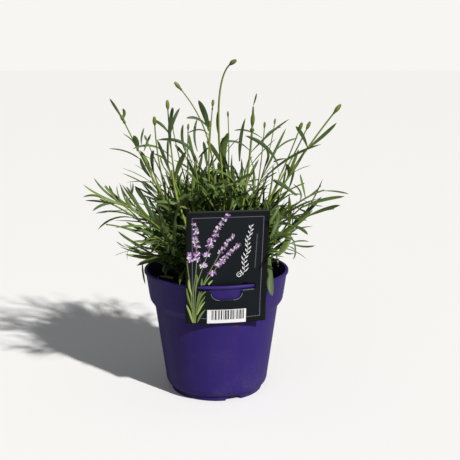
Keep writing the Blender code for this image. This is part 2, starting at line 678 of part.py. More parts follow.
def add_plant():
    """Every flower stalk and leafy shoot, each one clear of the others."""
    shoots = leafy_shoots()
    feet = rooting_places([stalk[0] for stalk in FLOWER_STALKS] + [shoot[0] for shoot in shoots])
    stems, lines = [], []
    for index, (tip, bow, bud_length, pairs) in enumerate(FLOWER_STALKS):
        tip, bow = settled(feet[index], np.array(tip), np.array(bow), lines)
        stems.append(Stem(
            f"flower_stalk_{index + 1:02d}", feet[index], tip, bow, pairs * 2,
            STALK_LEAFY_SHARE, STALK_LEAF_LENGTH, bud_length, 100 + index,
        ))
    for index, (tip, bow, leaf_length, pairs) in enumerate(shoots):
        foot = feet[len(FLOWER_STALKS) + index]
        tip, bow = settled(foot, np.array(tip), np.array(bow), lines)
        stems.append(Stem(
            f"leafy_shoot_{index + 1:02d}", foot, tip, bow, pairs, 0.97, leaf_length, 0.0, 200 + index,
        ))
    grown_trees = []
    for stem in stems:
        stem.keep_clear_leaves(stems, grown_trees)
        stem.add("flower_stem" if stem.bud_length else "leaf")
    return stems


FALLEN_LEAVES = (
    ((-0.043, -0.028), 2.3, 0.026),
    ((0.048, -0.014), 1.9, 0.020),
)


def add_fallen_leaves():
    """Old leaves that lie on the compost, each a thin blade a little above it."""
    for index, ((x, y), turn, length) in enumerate(FALLEN_LEAVES):
        way = Vector((math.cos(turn), math.sin(turn), 0))
        side = Vector((-way.y, way.x, 0))
        middle = Vector((x, y, COMPOST_CROWN_HEIGHT - 0.0004))
        outline = ((-0.5, 0.0006), (-0.1, 0.0020), (0.3, 0.0017), (0.5, 0.0004))
        points = []
        ring = outline + tuple((s, -w) for s, w in reversed(outline))
        for height in (0.0, 0.0006):
            level = middle + Vector((0, 0, height))
            points += [level + way * length * s + side * w for s, w in ring]
        count = len(ring)
        bottom, top = tuple(reversed(range(count))), tuple(range(count, 2 * count))
        walls = [(i, (i + 1) % count, count + (i + 1) % count, count + i) for i in range(count)]
        leaf = add_object(f"fallen_leaf_{index + 1}", points, [bottom, top, *walls], "dry_leaf")
        turn_outwards(leaf)


def clear_scene():
    for obj in list(bpy.data.objects):
        bpy.data.objects.remove(obj, do_unlink=True)


clear_scene()
add_pot()
add_compost()
add_woody_crown()
add_label()
add_plant()
add_fallen_leaves()
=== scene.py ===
"""A young lavender in a violet nursery pot, with its picture card hooked over the rim.

Metres, +Z up, the pot's axis on Z and its foot on the ground. The card hangs at the front, towards -Y.
"""

import math

import bmesh
import bpy
import numpy as np
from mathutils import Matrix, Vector


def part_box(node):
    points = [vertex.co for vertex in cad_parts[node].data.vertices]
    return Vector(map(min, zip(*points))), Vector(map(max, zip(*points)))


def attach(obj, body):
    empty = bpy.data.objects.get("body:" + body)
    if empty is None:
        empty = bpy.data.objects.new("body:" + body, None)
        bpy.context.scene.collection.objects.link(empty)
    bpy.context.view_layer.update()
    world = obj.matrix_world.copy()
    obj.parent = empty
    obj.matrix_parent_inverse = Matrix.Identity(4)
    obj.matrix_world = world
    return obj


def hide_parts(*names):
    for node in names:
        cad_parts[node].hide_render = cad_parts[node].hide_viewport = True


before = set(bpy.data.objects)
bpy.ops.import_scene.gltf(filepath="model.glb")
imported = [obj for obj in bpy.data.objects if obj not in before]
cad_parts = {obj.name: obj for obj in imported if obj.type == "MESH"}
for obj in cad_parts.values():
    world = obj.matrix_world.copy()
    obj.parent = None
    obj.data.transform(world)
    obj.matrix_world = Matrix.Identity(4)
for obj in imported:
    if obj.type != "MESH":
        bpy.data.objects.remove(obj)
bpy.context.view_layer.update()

# ---- Ground, light and camera ----------------------------------------------------------------
# The plant stands on a pale floor. A far lamp at the upper right casts the shadows and a broad weak one
# at the front left lightens them. Floor and surround are bright to the camera and dimmer as light.

scene = bpy.context.scene
scene.view_settings.view_transform = "Standard"
scene.view_settings.look = "None"


def new_material(name):
    """A new material with its node tree and its shader."""
    material = bpy.data.materials.new(name)
    material.use_nodes = True
    return material, material.node_tree, material.node_tree.nodes["Principled BSDF"]


pot_low, pot_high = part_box("pot")

FLOOR_SIZE = 14
FLOOR_SEEN = 0.95
FLOOR_BOUNCE = 0.42
SURROUND_SEEN = 0.93
SURROUND_LIGHT = 0.17
LAMP_TARGET = Vector((0, 0, 0.13))
SUN_SPREAD = math.radians(2.0)

bpy.ops.mesh.primitive_plane_add(size=FLOOR_SIZE, location=(0, 0, pot_low.z))
floor = bpy.context.object
floor.name = "floor"
floor_paint, tree, shader = new_material("pale_floor")
pale = tree.nodes.new("ShaderNodeMix")
pale.data_type = "RGBA"
pale.inputs[6].default_value = (FLOOR_BOUNCE, FLOOR_BOUNCE, FLOOR_BOUNCE, 1)
pale.inputs[7].default_value = (FLOOR_SEEN, FLOOR_SEEN, FLOOR_SEEN, 1)
tree.links.new(tree.nodes.new("ShaderNodeLightPath").outputs["Is Camera Ray"], pale.inputs[0])
tree.links.new(pale.outputs[2], shader.inputs["Base Color"])
shader.inputs["Roughness"].default_value = 0.9
shader.inputs["Specular IOR Level"].default_value = 0.1
floor.data.materials.append(floor_paint)

world = bpy.data.worlds.new("surround")
world.use_nodes = True
tree = world.node_tree
soft_light = tree.nodes["Background"]
soft_light.inputs["Color"].default_value = (0.97, 0.98, 1.0, 1)
soft_light.inputs["Strength"].default_value = SURROUND_LIGHT
white_wall = tree.nodes.new("ShaderNodeBackground")
white_wall.inputs["Color"].default_value = (1.0, 0.99, 0.965, 1)
white_wall.inputs["Strength"].default_value = SURROUND_SEEN
seen_or_lighting = tree.nodes.new("ShaderNodeMixShader")
tree.links.new(tree.nodes.new("ShaderNodeLightPath").outputs["Is Camera Ray"], seen_or_lighting.inputs[0])
tree.links.new(soft_light.outputs[0], seen_or_lighting.inputs[1])
tree.links.new(white_wall.outputs[0], seen_or_lighting.inputs[2])
tree.links.new(seen_or_lighting.outputs[0], tree.nodes["World Output"].inputs["Surface"])
scene.world = world


def lamp(name, azimuth, elevation, distance, size, power, colour):
    """A lamp aimed at the middle of the plant, its azimuth counted from the front towards +X. It is square,
    or without a size far away, so that its light falls in parallel but for a small spread."""
    data = bpy.data.lights.new(name, "AREA" if size else "SUN")
    if size:
        data.shape = "SQUARE"
        data.size = size
    else:
        data.angle = SUN_SPREAD
    data.energy = power
    data.color = colour
    obj = bpy.data.objects.new(name, data)
    turn, rise = math.radians(azimuth), math.radians(elevation)
    way = Vector((math.sin(turn) * math.cos(rise), -math.cos(turn) * math.cos(rise), math.sin(rise)))
    obj.location = LAMP_TARGET + way * distance
    obj.rotation_euler = (-way).to_track_quat("-Z", "Y").to_euler()
    scene.collection.objects.link(obj)


lamp("key_lamp", 41, 37, 1.8, 0, 4.2, (1.0, 0.985, 0.95))
lamp("front_fill", -20, 25, 2.2, 1.6, 3, (0.96, 0.98, 1.0))

camera_data = bpy.data.cameras.new("camera")
camera_data.lens = 73.2
camera_data.sensor_width = 36.0
camera = bpy.data.objects.new("camera", camera_data)
camera.location = (0.0132, -0.8797, 0.3472)
camera.rotation_euler = (math.radians(77.8), 0, 0)
scene.collection.objects.link(camera)
scene.camera = camera

# ---- Pot -------------------------------------------------------------------------------------
# A thin pot moulded in violet polypropylene. A bead runs round its lip, a sloping collar stiffens
# the top, and it stands on a narrow ring with three notches that let water out.

POT_HEIGHT = pot_high.z
RIM_RADIUS = pot_high.x
COLLAR_TOP_RADIUS = 0.0684
COLLAR_BOTTOM = (0.0646, 0.0912)
SHOULDER = (0.0597, 0.0842)
HEEL = (0.0500, 0.0140)
FOOT = (0.0446, 0.0046)
FOOT_WIDTH = 0.0022
WALL = 0.0014
LIP_HEIGHT = 0.0028
NOTCH_FIRST = math.radians(22)
NOTCH_HALF_ANGLE = 0.0165 / 2 / FOOT[0]
NOTCH_RISE = 0.0030
DRAIN_HOLES = 6
DRAIN_RADIUS = 0.0036
DRAIN_CIRCLE = 0.027
DRAIN_SIDES = 28
DRAIN_PLUG = (0.001, 0.010)
OUT_OF_ROUND = 0.00018
RUB_PLACE = (0.0185, -0.0565, 0.0790)


def grid_faces(rows, columns, close_rows=False, close_columns=False):
    """Quads between neighbours of a rows x columns grid of points, wrapping round where asked."""
    r = np.arange(rows if close_rows else rows - 1)[:, None]
    c = np.arange(columns if close_columns else columns - 1)[None, :]
    r1, c1 = (r + 1) % rows, (c + 1) % columns
    quads = np.stack([r * columns + c, r * columns + c1, r1 * columns + c1, r1 * columns + c], axis=-1)
    return quads.reshape(-1, 4)


def add_piece(name, points, faces, materials, smooth_below=40, **attributes):
    """A named mesh piece at the origin, with smooth shading and optional per-point attributes."""
    mesh = bpy.data.meshes.new(name)
    places = np.asarray(points, float).reshape(-1, 3).tolist()
    mesh.from_pydata(places, [], [list(map(int, face)) for face in faces])
    for material in materials:
        mesh.materials.append(material)
    for key, values in attributes.items():
        layer = mesh.attributes.new(key, "FLOAT_COLOR", "POINT")
        layer.data.foreach_set("color", np.asarray(values, np.float32).reshape(-1))
    mesh.shade_smooth()
    mesh.set_sharp_from_angle(angle=math.radians(smooth_below))
    obj = bpy.data.objects.new(name, mesh)
    scene.collection.objects.link(obj)
    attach(obj, "root")
    return obj


def eased_corners(corners, reaches, steps=5):
    """A closed outline whose corners are replaced by short parabolas that start and end `reach` away."""
    corners = np.asarray(corners, float)
    before, after = np.roll(corners, 1, axis=0), np.roll(corners, -1, axis=0)
    outline = []
    for corner, prior, following, reach in zip(corners, before, after, reaches):
        if reach == 0:
            outline.append(corner[None])
            continue
        start = corner + (prior - corner) * min(0.5, reach / np.linalg.norm(prior - corner))
        end = corner + (following - corner) * min(0.5, reach / np.linalg.norm(following - corner))
        t = np.linspace(0, 1, steps)[:, None]
        outline.append((1 - t) ** 2 * start + 2 * t * (1 - t) * corner + t * t * end)
    return np.concatenate(outline)


def pot_section():
    """The wall's closed outline: up the outside, over the lip, down the inside, in to the axis and back."""
    rim_bottom = POT_HEIGHT - LIP_HEIGHT
    heel_turns = np.radians([12, 30, 48, 66, 80])
    heel = [
        (FOOT[0] + (HEEL[0] - FOOT[0]) * math.sin(t), HEEL[1] - (HEEL[1] - FOOT[1]) * math.cos(t))
        for t in heel_turns
    ]
    outside = [
        (FOOT[0] - 0.0003, 0.0, 0.0004),
        (FOOT[0], FOOT[1], 0.0004),
        *[(r, z, 0) for r, z in heel],
        (*HEEL, 0.002),
        (SHOULDER[0] - 0.0001, SHOULDER[1] - 0.0012, 0.0004),
        (*SHOULDER, 0.0005),
        (*COLLAR_BOTTOM, 0.0016),
        (COLLAR_BOTTOM[0] + 0.0006, COLLAR_BOTTOM[1] + 0.0044, 0.0002),
        (COLLAR_BOTTOM[0] + 0.0008, COLLAR_BOTTOM[1] + 0.0048, 0.0002),
        (COLLAR_TOP_RADIUS, rim_bottom - 0.0004, 0.0003),
        (RIM_RADIUS - 0.0003, rim_bottom, 0.0004),
        (RIM_RADIUS, rim_bottom + 0.0008, 0.0006),
        (RIM_RADIUS - 0.0001, POT_HEIGHT, 0.0011),
        (COLLAR_TOP_RADIUS - WALL, POT_HEIGHT, 0.0009),
    ]
    inside = [
        (COLLAR_TOP_RADIUS - WALL - 0.0002, rim_bottom, 0.0004),
        (COLLAR_BOTTOM[0] - WALL, COLLAR_BOTTOM[1], 0.001),
        (SHOULDER[0] - WALL, SHOULDER[1], 0.001),
        (HEEL[0] - WALL, HEEL[1] + WALL * 0.4, 0.002),
        (FOOT[0] - WALL - FOOT_WIDTH / 2, FOOT[1] + WALL, 0.001),
        (0.0, FOOT[1] + WALL, 0),
        (0.0, FOOT[1], 0),
        (FOOT[0] - FOOT_WIDTH, FOOT[1], 0.0004),
        (FOOT[0] - FOOT_WIDTH, 0.0, 0.0004),
    ]
    corners = outside + inside
    return eased_corners([c[:2] for c in corners], [c[2] for c in corners])


def pot_shape():
    """The section turned about Z: radius times the direction at each angle. The foot is lifted at the
    notches, and the radius swings by a sine of twice the angle, as a moulding that cooled out of round."""
    section = pot_section()
    notch_edges = [
        NOTCH_FIRST + k * 2 * math.pi / 3 + side * NOTCH_HALF_ANGLE * share
        for k in range(3) for side in (-1, 1) for share in (0.72, 0.78, 0.95, 1.0)
    ]
    turns = np.sort(np.concatenate([np.arange(180) * math.pi / 90, np.mod(notch_edges, 2 * math.pi)]))
    off = np.abs((turns - NOTCH_FIRST + math.pi / 3) % (2 * math.pi / 3) - math.pi / 3) / NOTCH_HALF_ANGLE
    lift = NOTCH_RISE * np.clip((1.0 - off) / 0.25, 0, 1)
    radius, height = section[:, 0][None, :], section[:, 1][None, :]
    foot = np.clip(1 - height / (NOTCH_RISE + 0.0008), 0, 1) * (radius > FOOT[0] - FOOT_WIDTH - 0.001)
    warp = OUT_OF_ROUND * np.sin(2 * turns + 0.6)[:, None] * np.clip(height / 0.12, 0, 1)
    x = (radius + warp * (radius > 0.01)) * np.sin(turns)[:, None]
    y = -(radius - warp * (radius > 0.01)) * np.cos(turns)[:, None]
    z = np.broadcast_to(height, x.shape) + foot * lift[:, None]
    return np.stack([x, y, z], axis=-1), len(turns), len(section)


def joined(obj, distance, sheet=False):
    """Merges points closer than the distance, drops what collapsed, and turns every face outwards. An open
    sheet keeps its smallest faces, and they are all turned to the front, towards -Y."""
    shape = bmesh.new()
    shape.from_mesh(obj.data)
    bmesh.ops.remove_doubles(shape, verts=shape.verts, dist=distance)
    if not sheet:
        bmesh.ops.dissolve_degenerate(shape, edges=shape.edges, dist=distance / 10)
    bmesh.ops.recalc_face_normals(shape, faces=shape.faces)
    if sheet and sum(face.normal.y * face.calc_area() for face in shape.faces) > 0:
        bmesh.ops.reverse_faces(shape, faces=shape.faces)
    shape.to_mesh(obj.data)
    shape.free()


def link(tree, source, target):
    """Joins an output to an input."""
    tree.links.new(source, target)


def feed(tree, socket, value):
    """Joins an input to another node's output, or sets its value."""
    if isinstance(value, bpy.types.NodeSocket):
        link(tree, value, socket)
    else:
        socket.default_value = value


def add_node(tree, kind, **inputs):
    """A shader node of that kind, its inputs fed by name, or by number where a name is _ and a number."""
    node = tree.nodes.new(kind)
    for key, value in inputs.items():
        numbered = key[0] == "_" and key[1:].isdigit()
        feed(tree, node.inputs[int(key[1:]) if numbered else key.replace("_", " ")], value)
    return node


def maths(tree, operation, first, second=0.0, third=0.0):
    """The output of a Math node."""
    node = add_node(tree, "ShaderNodeMath", _0=first, _1=second, _2=third)
    node.operation = operation
    return node.outputs[0]


def mixed(tree, share, first, second):
    """The output of a colour Mix node."""
    node = tree.nodes.new("ShaderNodeMix")
    node.data_type = "RGBA"
    for index, value in ((0, share), (6, first), (7, second)):
        feed(tree, node.inputs[index], value)
    return node.outputs[2]


def tinted(tree, colour, mask, strength, tint):
    """The colour moved towards a tint by the mask times the strength."""
    return mixed(tree, maths(tree, "MULTIPLY", mask, strength), colour, tint)


def stepped(tree, value, low, high):
    """A value run smoothly from 0 at `low` to 1 at `high`."""
    node = add_node(tree, "ShaderNodeMapRange", Value=value, From_Min=low, From_Max=high)
    node.interpolation_type = "SMOOTHSTEP"
    return node.outputs[0]


def faded(tree, value, low, high):
    """A value run smoothly from 1 at `low` to 0 at `high`."""
    return maths(tree, "SUBTRACT", 1.0, stepped(tree, value, low, high))


def place(tree):
    """The point's place on the object, in metres."""
    return tree.nodes.new("ShaderNodeTexCoord").outputs["Object"]


def noise(tree, where, scale, detail=2.0, rough=0.5):
    """The value of a Noise texture."""
    node = add_node(tree, "ShaderNodeTexNoise", Vector=where, Scale=scale, Detail=detail, Roughness=rough)
    return node.outputs[0]


def new_group(name, inputs, outputs):
    """An empty shader node group with the named sockets, as (tree, its inputs, its outputs)."""
    group = bpy.data.node_groups.new(name, "ShaderNodeTree")
    for socket, kind, value in inputs:
        made = group.interface.new_socket(socket, in_out="INPUT", socket_type=kind)
        made.default_value = value
    for socket, kind in outputs:
        group.interface.new_socket(socket, in_out="OUTPUT", socket_type=kind)
    return group, group.nodes.new("NodeGroupInput").outputs, group.nodes.new("NodeGroupOutput").inputs


def use_group(tree, group, **inputs):
    """A copy of a node group in a material, with its own values."""
    node = tree.nodes.new("ShaderNodeGroup")
    node.node_tree = group
    for key, value in inputs.items():
        feed(tree, node.inputs[key.replace("_", " ")], value)
    return node.outputs


def build_dust_group():
    """Soil dust: a coarse patchiness times a fine speckle, thinned or thickened by Amount."""
    group, given, result = new_group(
        "settled_dust",
        [("Colour", "NodeSocketColor", (0, 0, 0, 1)),
         ("Dust Colour", "NodeSocketColor", (0.2, 0.18, 0.16, 1)),
         ("Amount", "NodeSocketFloat", 0.3), ("Patch Scale", "NodeSocketFloat", 30.0),
         ("Speckle Scale", "NodeSocketFloat", 600.0)],
        [("Colour", "NodeSocketColor"), ("Dust", "NodeSocketFloat")],
    )
    where = place(group)
    patches = stepped(group, noise(group, where, given["Patch Scale"], 4, 0.6), 0.42, 0.72)
    speckle = stepped(group, noise(group, where, given["Speckle Scale"], 2, 0.6), 0.40, 0.70)
    thick = maths(group, "MULTIPLY", patches, maths(group, "MULTIPLY_ADD", speckle, 0.8, 0.2))
    dust = maths(group, "MULTIPLY", thick, given["Amount"])
    link(group, mixed(group, dust, given["Colour"], given["Dust Colour"]), result["Colour"])
    link(group, dust, result["Dust"])
    return group


def build_grain_group():
    """Surface grain: two noises added, as a height in 0 to 1."""
    group, given, result = new_group(
        "surface_grain",
        [("Coarse Scale", "NodeSocketFloat", 80.0), ("Fine Scale", "NodeSocketFloat", 900.0),
         ("Fine Share", "NodeSocketFloat", 0.5)],
        [("Height", "NodeSocketFloat"), ("Coarse", "NodeSocketFloat")],
    )
    where = place(group)
    coarse = noise(group, where, given["Coarse Scale"], 3, 0.5)
    fine = noise(group, where, given["Fine Scale"], 2, 0.6)
    link(group, maths(group, "MULTIPLY_ADD", fine, given["Fine Share"], coarse), result["Height"])
    link(group, coarse, result["Coarse"])
    return group


def bump(tree, shader, height, distance, strength=1.0):
    """Feeds a height to the shader's normal."""
    node = add_node(tree, "ShaderNodeBump", Height=height, Distance=distance, Strength=strength)
    link(tree, node.outputs[0], shader.inputs["Normal"])


DUST = build_dust_group()
GRAIN = build_grain_group()


def violet_plastic():
    """Satin violet plastic: faint upright flow marks, fine grain, dust mostly low down, and a rusty rub."""
    material, tree, shader = new_material("violet_plastic")
    where = place(tree)
    axes = add_node(tree, "ShaderNodeSeparateXYZ", Vector=where).outputs
    flow = add_node(tree, "ShaderNodeMapping", Vector=where, Scale=(1.0, 1.0, 0.12)).outputs[0]
    streaks = noise(tree, flow, 90, 3, 0.6)
    cloud = noise(tree, where, 16, 3, 0.5)
    violet = mixed(tree, cloud, (0.026, 0.0125, 0.128, 1), (0.032, 0.0160, 0.146, 1))
    violet = tinted(tree, violet, stepped(tree, streaks, 0.45, 0.75), 0.20, (0.052, 0.034, 0.185, 1))
    low = faded(tree, axes["Z"], 0.004, 0.045)
    amount = maths(tree, "MULTIPLY_ADD", low, 0.26, 0.12)
    dusty = use_group(tree, DUST, Colour=violet, Dust_Colour=(0.110, 0.095, 0.150, 1), Amount=amount,
                      Patch_Scale=34.0, Speckle_Scale=520.0)
    from_rub = add_node(tree, "ShaderNodeVectorMath", _0=where, _1=RUB_PLACE)
    from_rub.operation = "SUBTRACT"
    stretched = add_node(tree, "ShaderNodeVectorMath", _0=from_rub.outputs[0], _1=(1.0, 0.5, 1.7))
    stretched.operation = "MULTIPLY"
    far = add_node(tree, "ShaderNodeVectorMath", _0=stretched.outputs[0])
    far.operation = "LENGTH"
    ragged = maths(tree, "MULTIPLY_ADD", noise(tree, where, 420, 3, 0.6), 0.005, far.outputs["Value"])
    rub = faded(tree, ragged, 0.0030, 0.0075)
    colour = tinted(tree, dusty["Colour"], rub, 0.75, (0.080, 0.030, 0.034, 1))
    grain = use_group(tree, GRAIN, Coarse_Scale=140.0, Fine_Scale=1500.0, Fine_Share=0.35)
    link(tree, colour, shader.inputs["Base Color"])
    clean = maths(tree, "MULTIPLY_ADD", grain["Coarse"], 0.12, 0.40)
    link(tree, maths(tree, "MULTIPLY_ADD", dusty["Dust"], 0.5, clean), shader.inputs["Roughness"])
    shader.inputs["Specular IOR Level"].default_value = 0.20
    bump(tree, shader, grain["Height"], 0.00012, 0.5)
    return material


pot_points, pot_turns, pot_rows = pot_shape()
pot = add_piece(
    "pot_body", pot_points, grid_faces(pot_turns, pot_rows, close_rows=True, close_columns=True),
    [violet_plastic()],
)
joined(pot, 1e-6)


def drain_cutter():
    """Round plugs on a circle: for each, two rings of points joined by a wall, capped at both ends."""
    turns = np.linspace(0, 2 * math.pi, DRAIN_SIDES, endpoint=False)
    ring = np.stack([np.cos(turns) * DRAIN_RADIUS, np.sin(turns) * DRAIN_RADIUS], axis=-1)
    points, faces = [], []
    for index in range(DRAIN_HOLES):
        turn = (index + 0.5) * 2 * math.pi / DRAIN_HOLES
        middle = np.array([math.cos(turn), math.sin(turn)]) * DRAIN_CIRCLE
        first = index * 2 * DRAIN_SIDES
        second = first + DRAIN_SIDES
        for height in DRAIN_PLUG:
            points.append(np.column_stack([ring + middle, np.full(DRAIN_SIDES, height)]))
        faces += (grid_faces(2, DRAIN_SIDES, close_columns=True) + first).tolist()
        faces += [list(range(second - 1, first - 1, -1)), list(range(second, second + DRAIN_SIDES))]
    mesh = bpy.data.meshes.new("drain_cutter")
    mesh.from_pydata(np.concatenate(points).tolist(), [], faces)
    cutter = bpy.data.objects.new("drain_cutter", mesh)
    scene.collection.objects.link(cutter)
    return cutter


def cut_once(obj, cutter):
    """Cuts the plugs out of the piece, keeps the result as its mesh and removes the cutter."""
    modifier = obj.modifiers.new("drains", "BOOLEAN")
    modifier.object = cutter
    modifier.operation = "DIFFERENCE"
    cut = bpy.data.meshes.new_from_object(obj.evaluated_get(bpy.context.evaluated_depsgraph_get()))
    obj.modifiers.clear()
    obj.data = cut
    bpy.data.objects.remove(cutter)


cut_once(pot, drain_cutter())
pot.data.shade_smooth()
pot.data.set_sharp_from_angle(angle=math.radians(38))
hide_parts("pot")

# ---- Compost ---------------------------------------------------------------------------------
# Dark peat compost that fills the pot to a finger's width under the rim. Its top is loose: crumbs of
# peat and pale bits of perlite lie on it.

COMPOST_LOW, COMPOST_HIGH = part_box("compost")
CROWN_HEIGHT = COMPOST_HIGH.z
EDGE_HEIGHT = 0.1045
EDGE_RADIUS = 0.0648
INNER = ((0.0046, 0.0432), (0.0140, 0.0486), (0.0842, 0.0583), (0.0912, 0.0632), (0.1200, 0.0670))
# Hills on the compost's top: (pitch, seed, height).
HILLS = ((0.017, 1, 0.0016), (0.0062, 2, 0.0010), (0.0025, 3, 0.0007), (0.0012, 4, 0.0003))
CRUMBS = 900
GRITS = 26


def inner_radius(height):
    """The pot's inside radius at a height, straight between its corners."""
    heights, radii = zip(*INNER)
    return np.interp(height, heights, radii)


def compost_top(radius):
    """The compost's height at a distance from the axis: a low dome."""
    share = np.minimum(1.0, np.asarray(radius) / EDGE_RADIUS)
    return EDGE_HEIGHT + (CROWN_HEIGHT - EDGE_HEIGHT) * (1 - share * share)


def rolling(x, y, pitch, seed):
    """Smooth random hills on a square lattice of the pitch: corner values blended by an eased square law."""
    values = np.random.RandomState(seed).uniform(-1, 1, (64, 64))
    u, v = x / pitch + 200.0, y / pitch + 200.0
    i, j = np.floor(u).astype(int), np.floor(v).astype(int)
    fu, fv = u - i, v - j
    fu, fv = fu * fu * (3 - 2 * fu), fv * fv * (3 - 2 * fv)
    at = lambda a, b: values[(i + a) % 64, (j + b) % 64]
    return (at(0, 0) * (1 - fu) + at(1, 0) * fu) * (1 - fv) + (at(0, 1) * (1 - fu) + at(1, 1) * fu) * fv


def compost_shape(turns=220, rings=70):
    """Rings from the base's middle, out, up the sides and in over the top, where hills are added."""
    floor_height = COMPOST_LOW.z
    side_heights = np.linspace(floor_height + 0.001, EDGE_HEIGHT - 0.002, 10)
    side = np.stack([inner_radius(side_heights) - 0.0007, side_heights], axis=-1)
    side[0, 0] = 0.0412
    top_radius = 0.0645 * (1 - np.linspace(0, 1, rings) ** 1.05)
    top = np.stack([top_radius, compost_top(top_radius) - 0.0016], axis=-1)
    section = np.concatenate([[[0.0, floor_height], [0.040, floor_height]], side, top])
    angle = np.linspace(0, 2 * math.pi, turns, endpoint=False)[:, None]
    x, y = section[:, 0] * np.cos(angle), section[:, 0] * np.sin(angle)
    hills = sum(rolling(x, y, pitch, seed) * height for pitch, seed, height in HILLS)
    on_top = np.concatenate([np.zeros(len(section) - rings), np.ones(rings)])
    on_top = on_top * np.clip((0.0650 - section[:, 0]) / 0.002, 0, 1)
    z = section[:, 1] + hills * on_top
    return np.stack([x, y, np.broadcast_to(z, x.shape)], axis=-1), turns, len(section)


def peat():
    """Peat: near black with brown fibre, lighter where it has dried on the high crumbs."""
    material, tree, shader = new_material("peat")
    where = place(tree)
    grain = use_group(tree, GRAIN, Coarse_Scale=260.0, Fine_Scale=1400.0, Fine_Share=0.6)
    fibre = add_node(tree, "ShaderNodeTexVoronoi", Vector=where, Scale=520.0)
    dry = stepped(tree, grain["Height"], 0.55, 1.05)
    brown = mixed(tree, dry, (0.006, 0.0045, 0.0035, 1), (0.030, 0.020, 0.013, 1))
    fibrous = stepped(tree, fibre.outputs["Distance"], 0.45, 0.75)
    brown = tinted(tree, brown, fibrous, 0.30, (0.060, 0.042, 0.026, 1))
    link(tree, brown, shader.inputs["Base Color"])
    shader.inputs["Roughness"].default_value = 0.95
    shader.inputs["Specular IOR Level"].default_value = 0.15
    bump(tree, shader, grain["Height"], 0.0009, 0.9)
    return material


PEAT = peat()
compost_points, compost_turns, compost_rows = compost_shape()
compost = add_piece(
    "compost_body", compost_points, grid_faces(compost_turns, compost_rows, close_rows=True), [PEAT], 60,
)
joined(compost, 2e-6)
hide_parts("compost")


def lumps(centres, sizes, seed):
    """Angular crumbs: for each, a ball of three six-sided rings between two poles, every point pushed in or
    out at random."""
    sides, rings = 6, 3
    count, each = len(centres), rings * sides + 2
    draw = np.random.RandomState(seed)
    polar = np.linspace(0, math.pi, rings + 2)[1:-1][:, None]
    around = np.linspace(0, 2 * math.pi, sides, endpoint=False)[None, :]
    flat = np.sin(polar)
    ball = np.stack([flat * np.cos(around), flat * np.sin(around), np.cos(polar) + 0 * around], axis=-1)
    ball = np.concatenate([[[0, 0, 1.0]], ball.reshape(-1, 3), [[0, 0, -1.0]]])
    stretch = draw.uniform(0.6, 1.25, (count, 1, 3))
    points = ball[None] * stretch * draw.uniform(0.72, 1.15, (count, each, 1)) * sizes[:, None, None]
    turn = draw.uniform(0, 2 * math.pi, count)
    c, s = np.cos(turn)[:, None], np.sin(turn)[:, None]
    x, y = points[..., 0] * c - points[..., 1] * s, points[..., 0] * s + points[..., 1] * c
    points = np.stack([x, y, points[..., 2]], axis=-1) + centres[:, None]
    walls = grid_faces(rings, sides, close_columns=True)[:, ::-1] + 1
    here = np.arange(sides)
    following = (here + 1) % sides
    low_ring = 1 + (rings - 1) * sides
    caps = np.concatenate([
        np.stack([0 * here, here + 1, following + 1], axis=-1),
        np.stack([0 * here + each - 1, following + low_ring, here + low_ring], axis=-1),
    ])
    first = np.arange(count)[:, None, None] * each
    faces = (walls[None] + first).reshape(-1, 4).tolist() + (caps[None] + first).reshape(-1, 3).tolist()
    return points.reshape(-1, 3), faces


def scattered(count, low_radius, high_radius, seed):
    """Places spread evenly over a ring of the compost's top, and the random source they were drawn from."""
    draw = np.random.RandomState(seed)
    radius = np.sqrt(draw.uniform(low_radius**2, high_radius**2, count))
    turn = draw.uniform(0, 2 * math.pi, count)
    return np.stack([radius * np.cos(turn), radius * np.sin(turn), compost_top(radius)], axis=-1), draw


crumb_places, draw = scattered(CRUMBS, 0.006, 0.0632, 21)
crumb_sizes = 0.0006 + 0.0021 * draw.uniform(0, 1, CRUMBS) ** 2.5
crumb_points, crumb_faces = lumps(crumb_places - [0, 0, 0.0012], crumb_sizes, 22)
crumbs = add_piece("compost_crumbs", crumb_points, crumb_faces, [PEAT], 20)
joined(crumbs, 1e-7)


def pale_grit():
    """Perlite: off-white volcanic grains, stained by the peat."""
    material, tree, shader = new_material("pale_grit")
    grain = use_group(tree, GRAIN, Coarse_Scale=300.0, Fine_Scale=2200.0, Fine_Share=0.5)
    clean = stepped(tree, grain["Height"], 0.55, 0.95)
    colour = mixed(tree, clean, (0.10, 0.08, 0.06, 1), (0.42, 0.39, 0.33, 1))
    link(tree, colour, shader.inputs["Base Color"])
    shader.inputs["Roughness"].default_value = 0.9
    bump(tree, shader, grain["Height"], 0.0003, 0.8)
    return material


grit_places, draw = scattered(GRITS, 0.020, 0.0625, 31)
grit_sizes = 0.0005 + 0.0008 * draw.uniform(0, 1, GRITS)
grit_points, grit_faces = lumps(grit_places + [0, 0, 0.0002], grit_sizes, 32)
grit = add_piece("perlite_grains", grit_points, grit_faces, [pale_grit()], 20)
joined(grit, 1e-7)

# ---- Old wood --------------------------------------------------------------------------------
# The short main stem, cut back in the nursery to make the plant bushy. Grey-brown fissured bark,
# with three stubs.

# The main stem, then its stubs: (direction, lean in degrees, length, radius at the foot).
WOOD = (
    (0.3, 4, 0.0135, 0.0062),
    (0.6, 28, 0.0160, 0.0026),
    (2.9, 35, 0.0140, 0.0024),
    (4.8, 22, 0.0165, 0.0025),
)


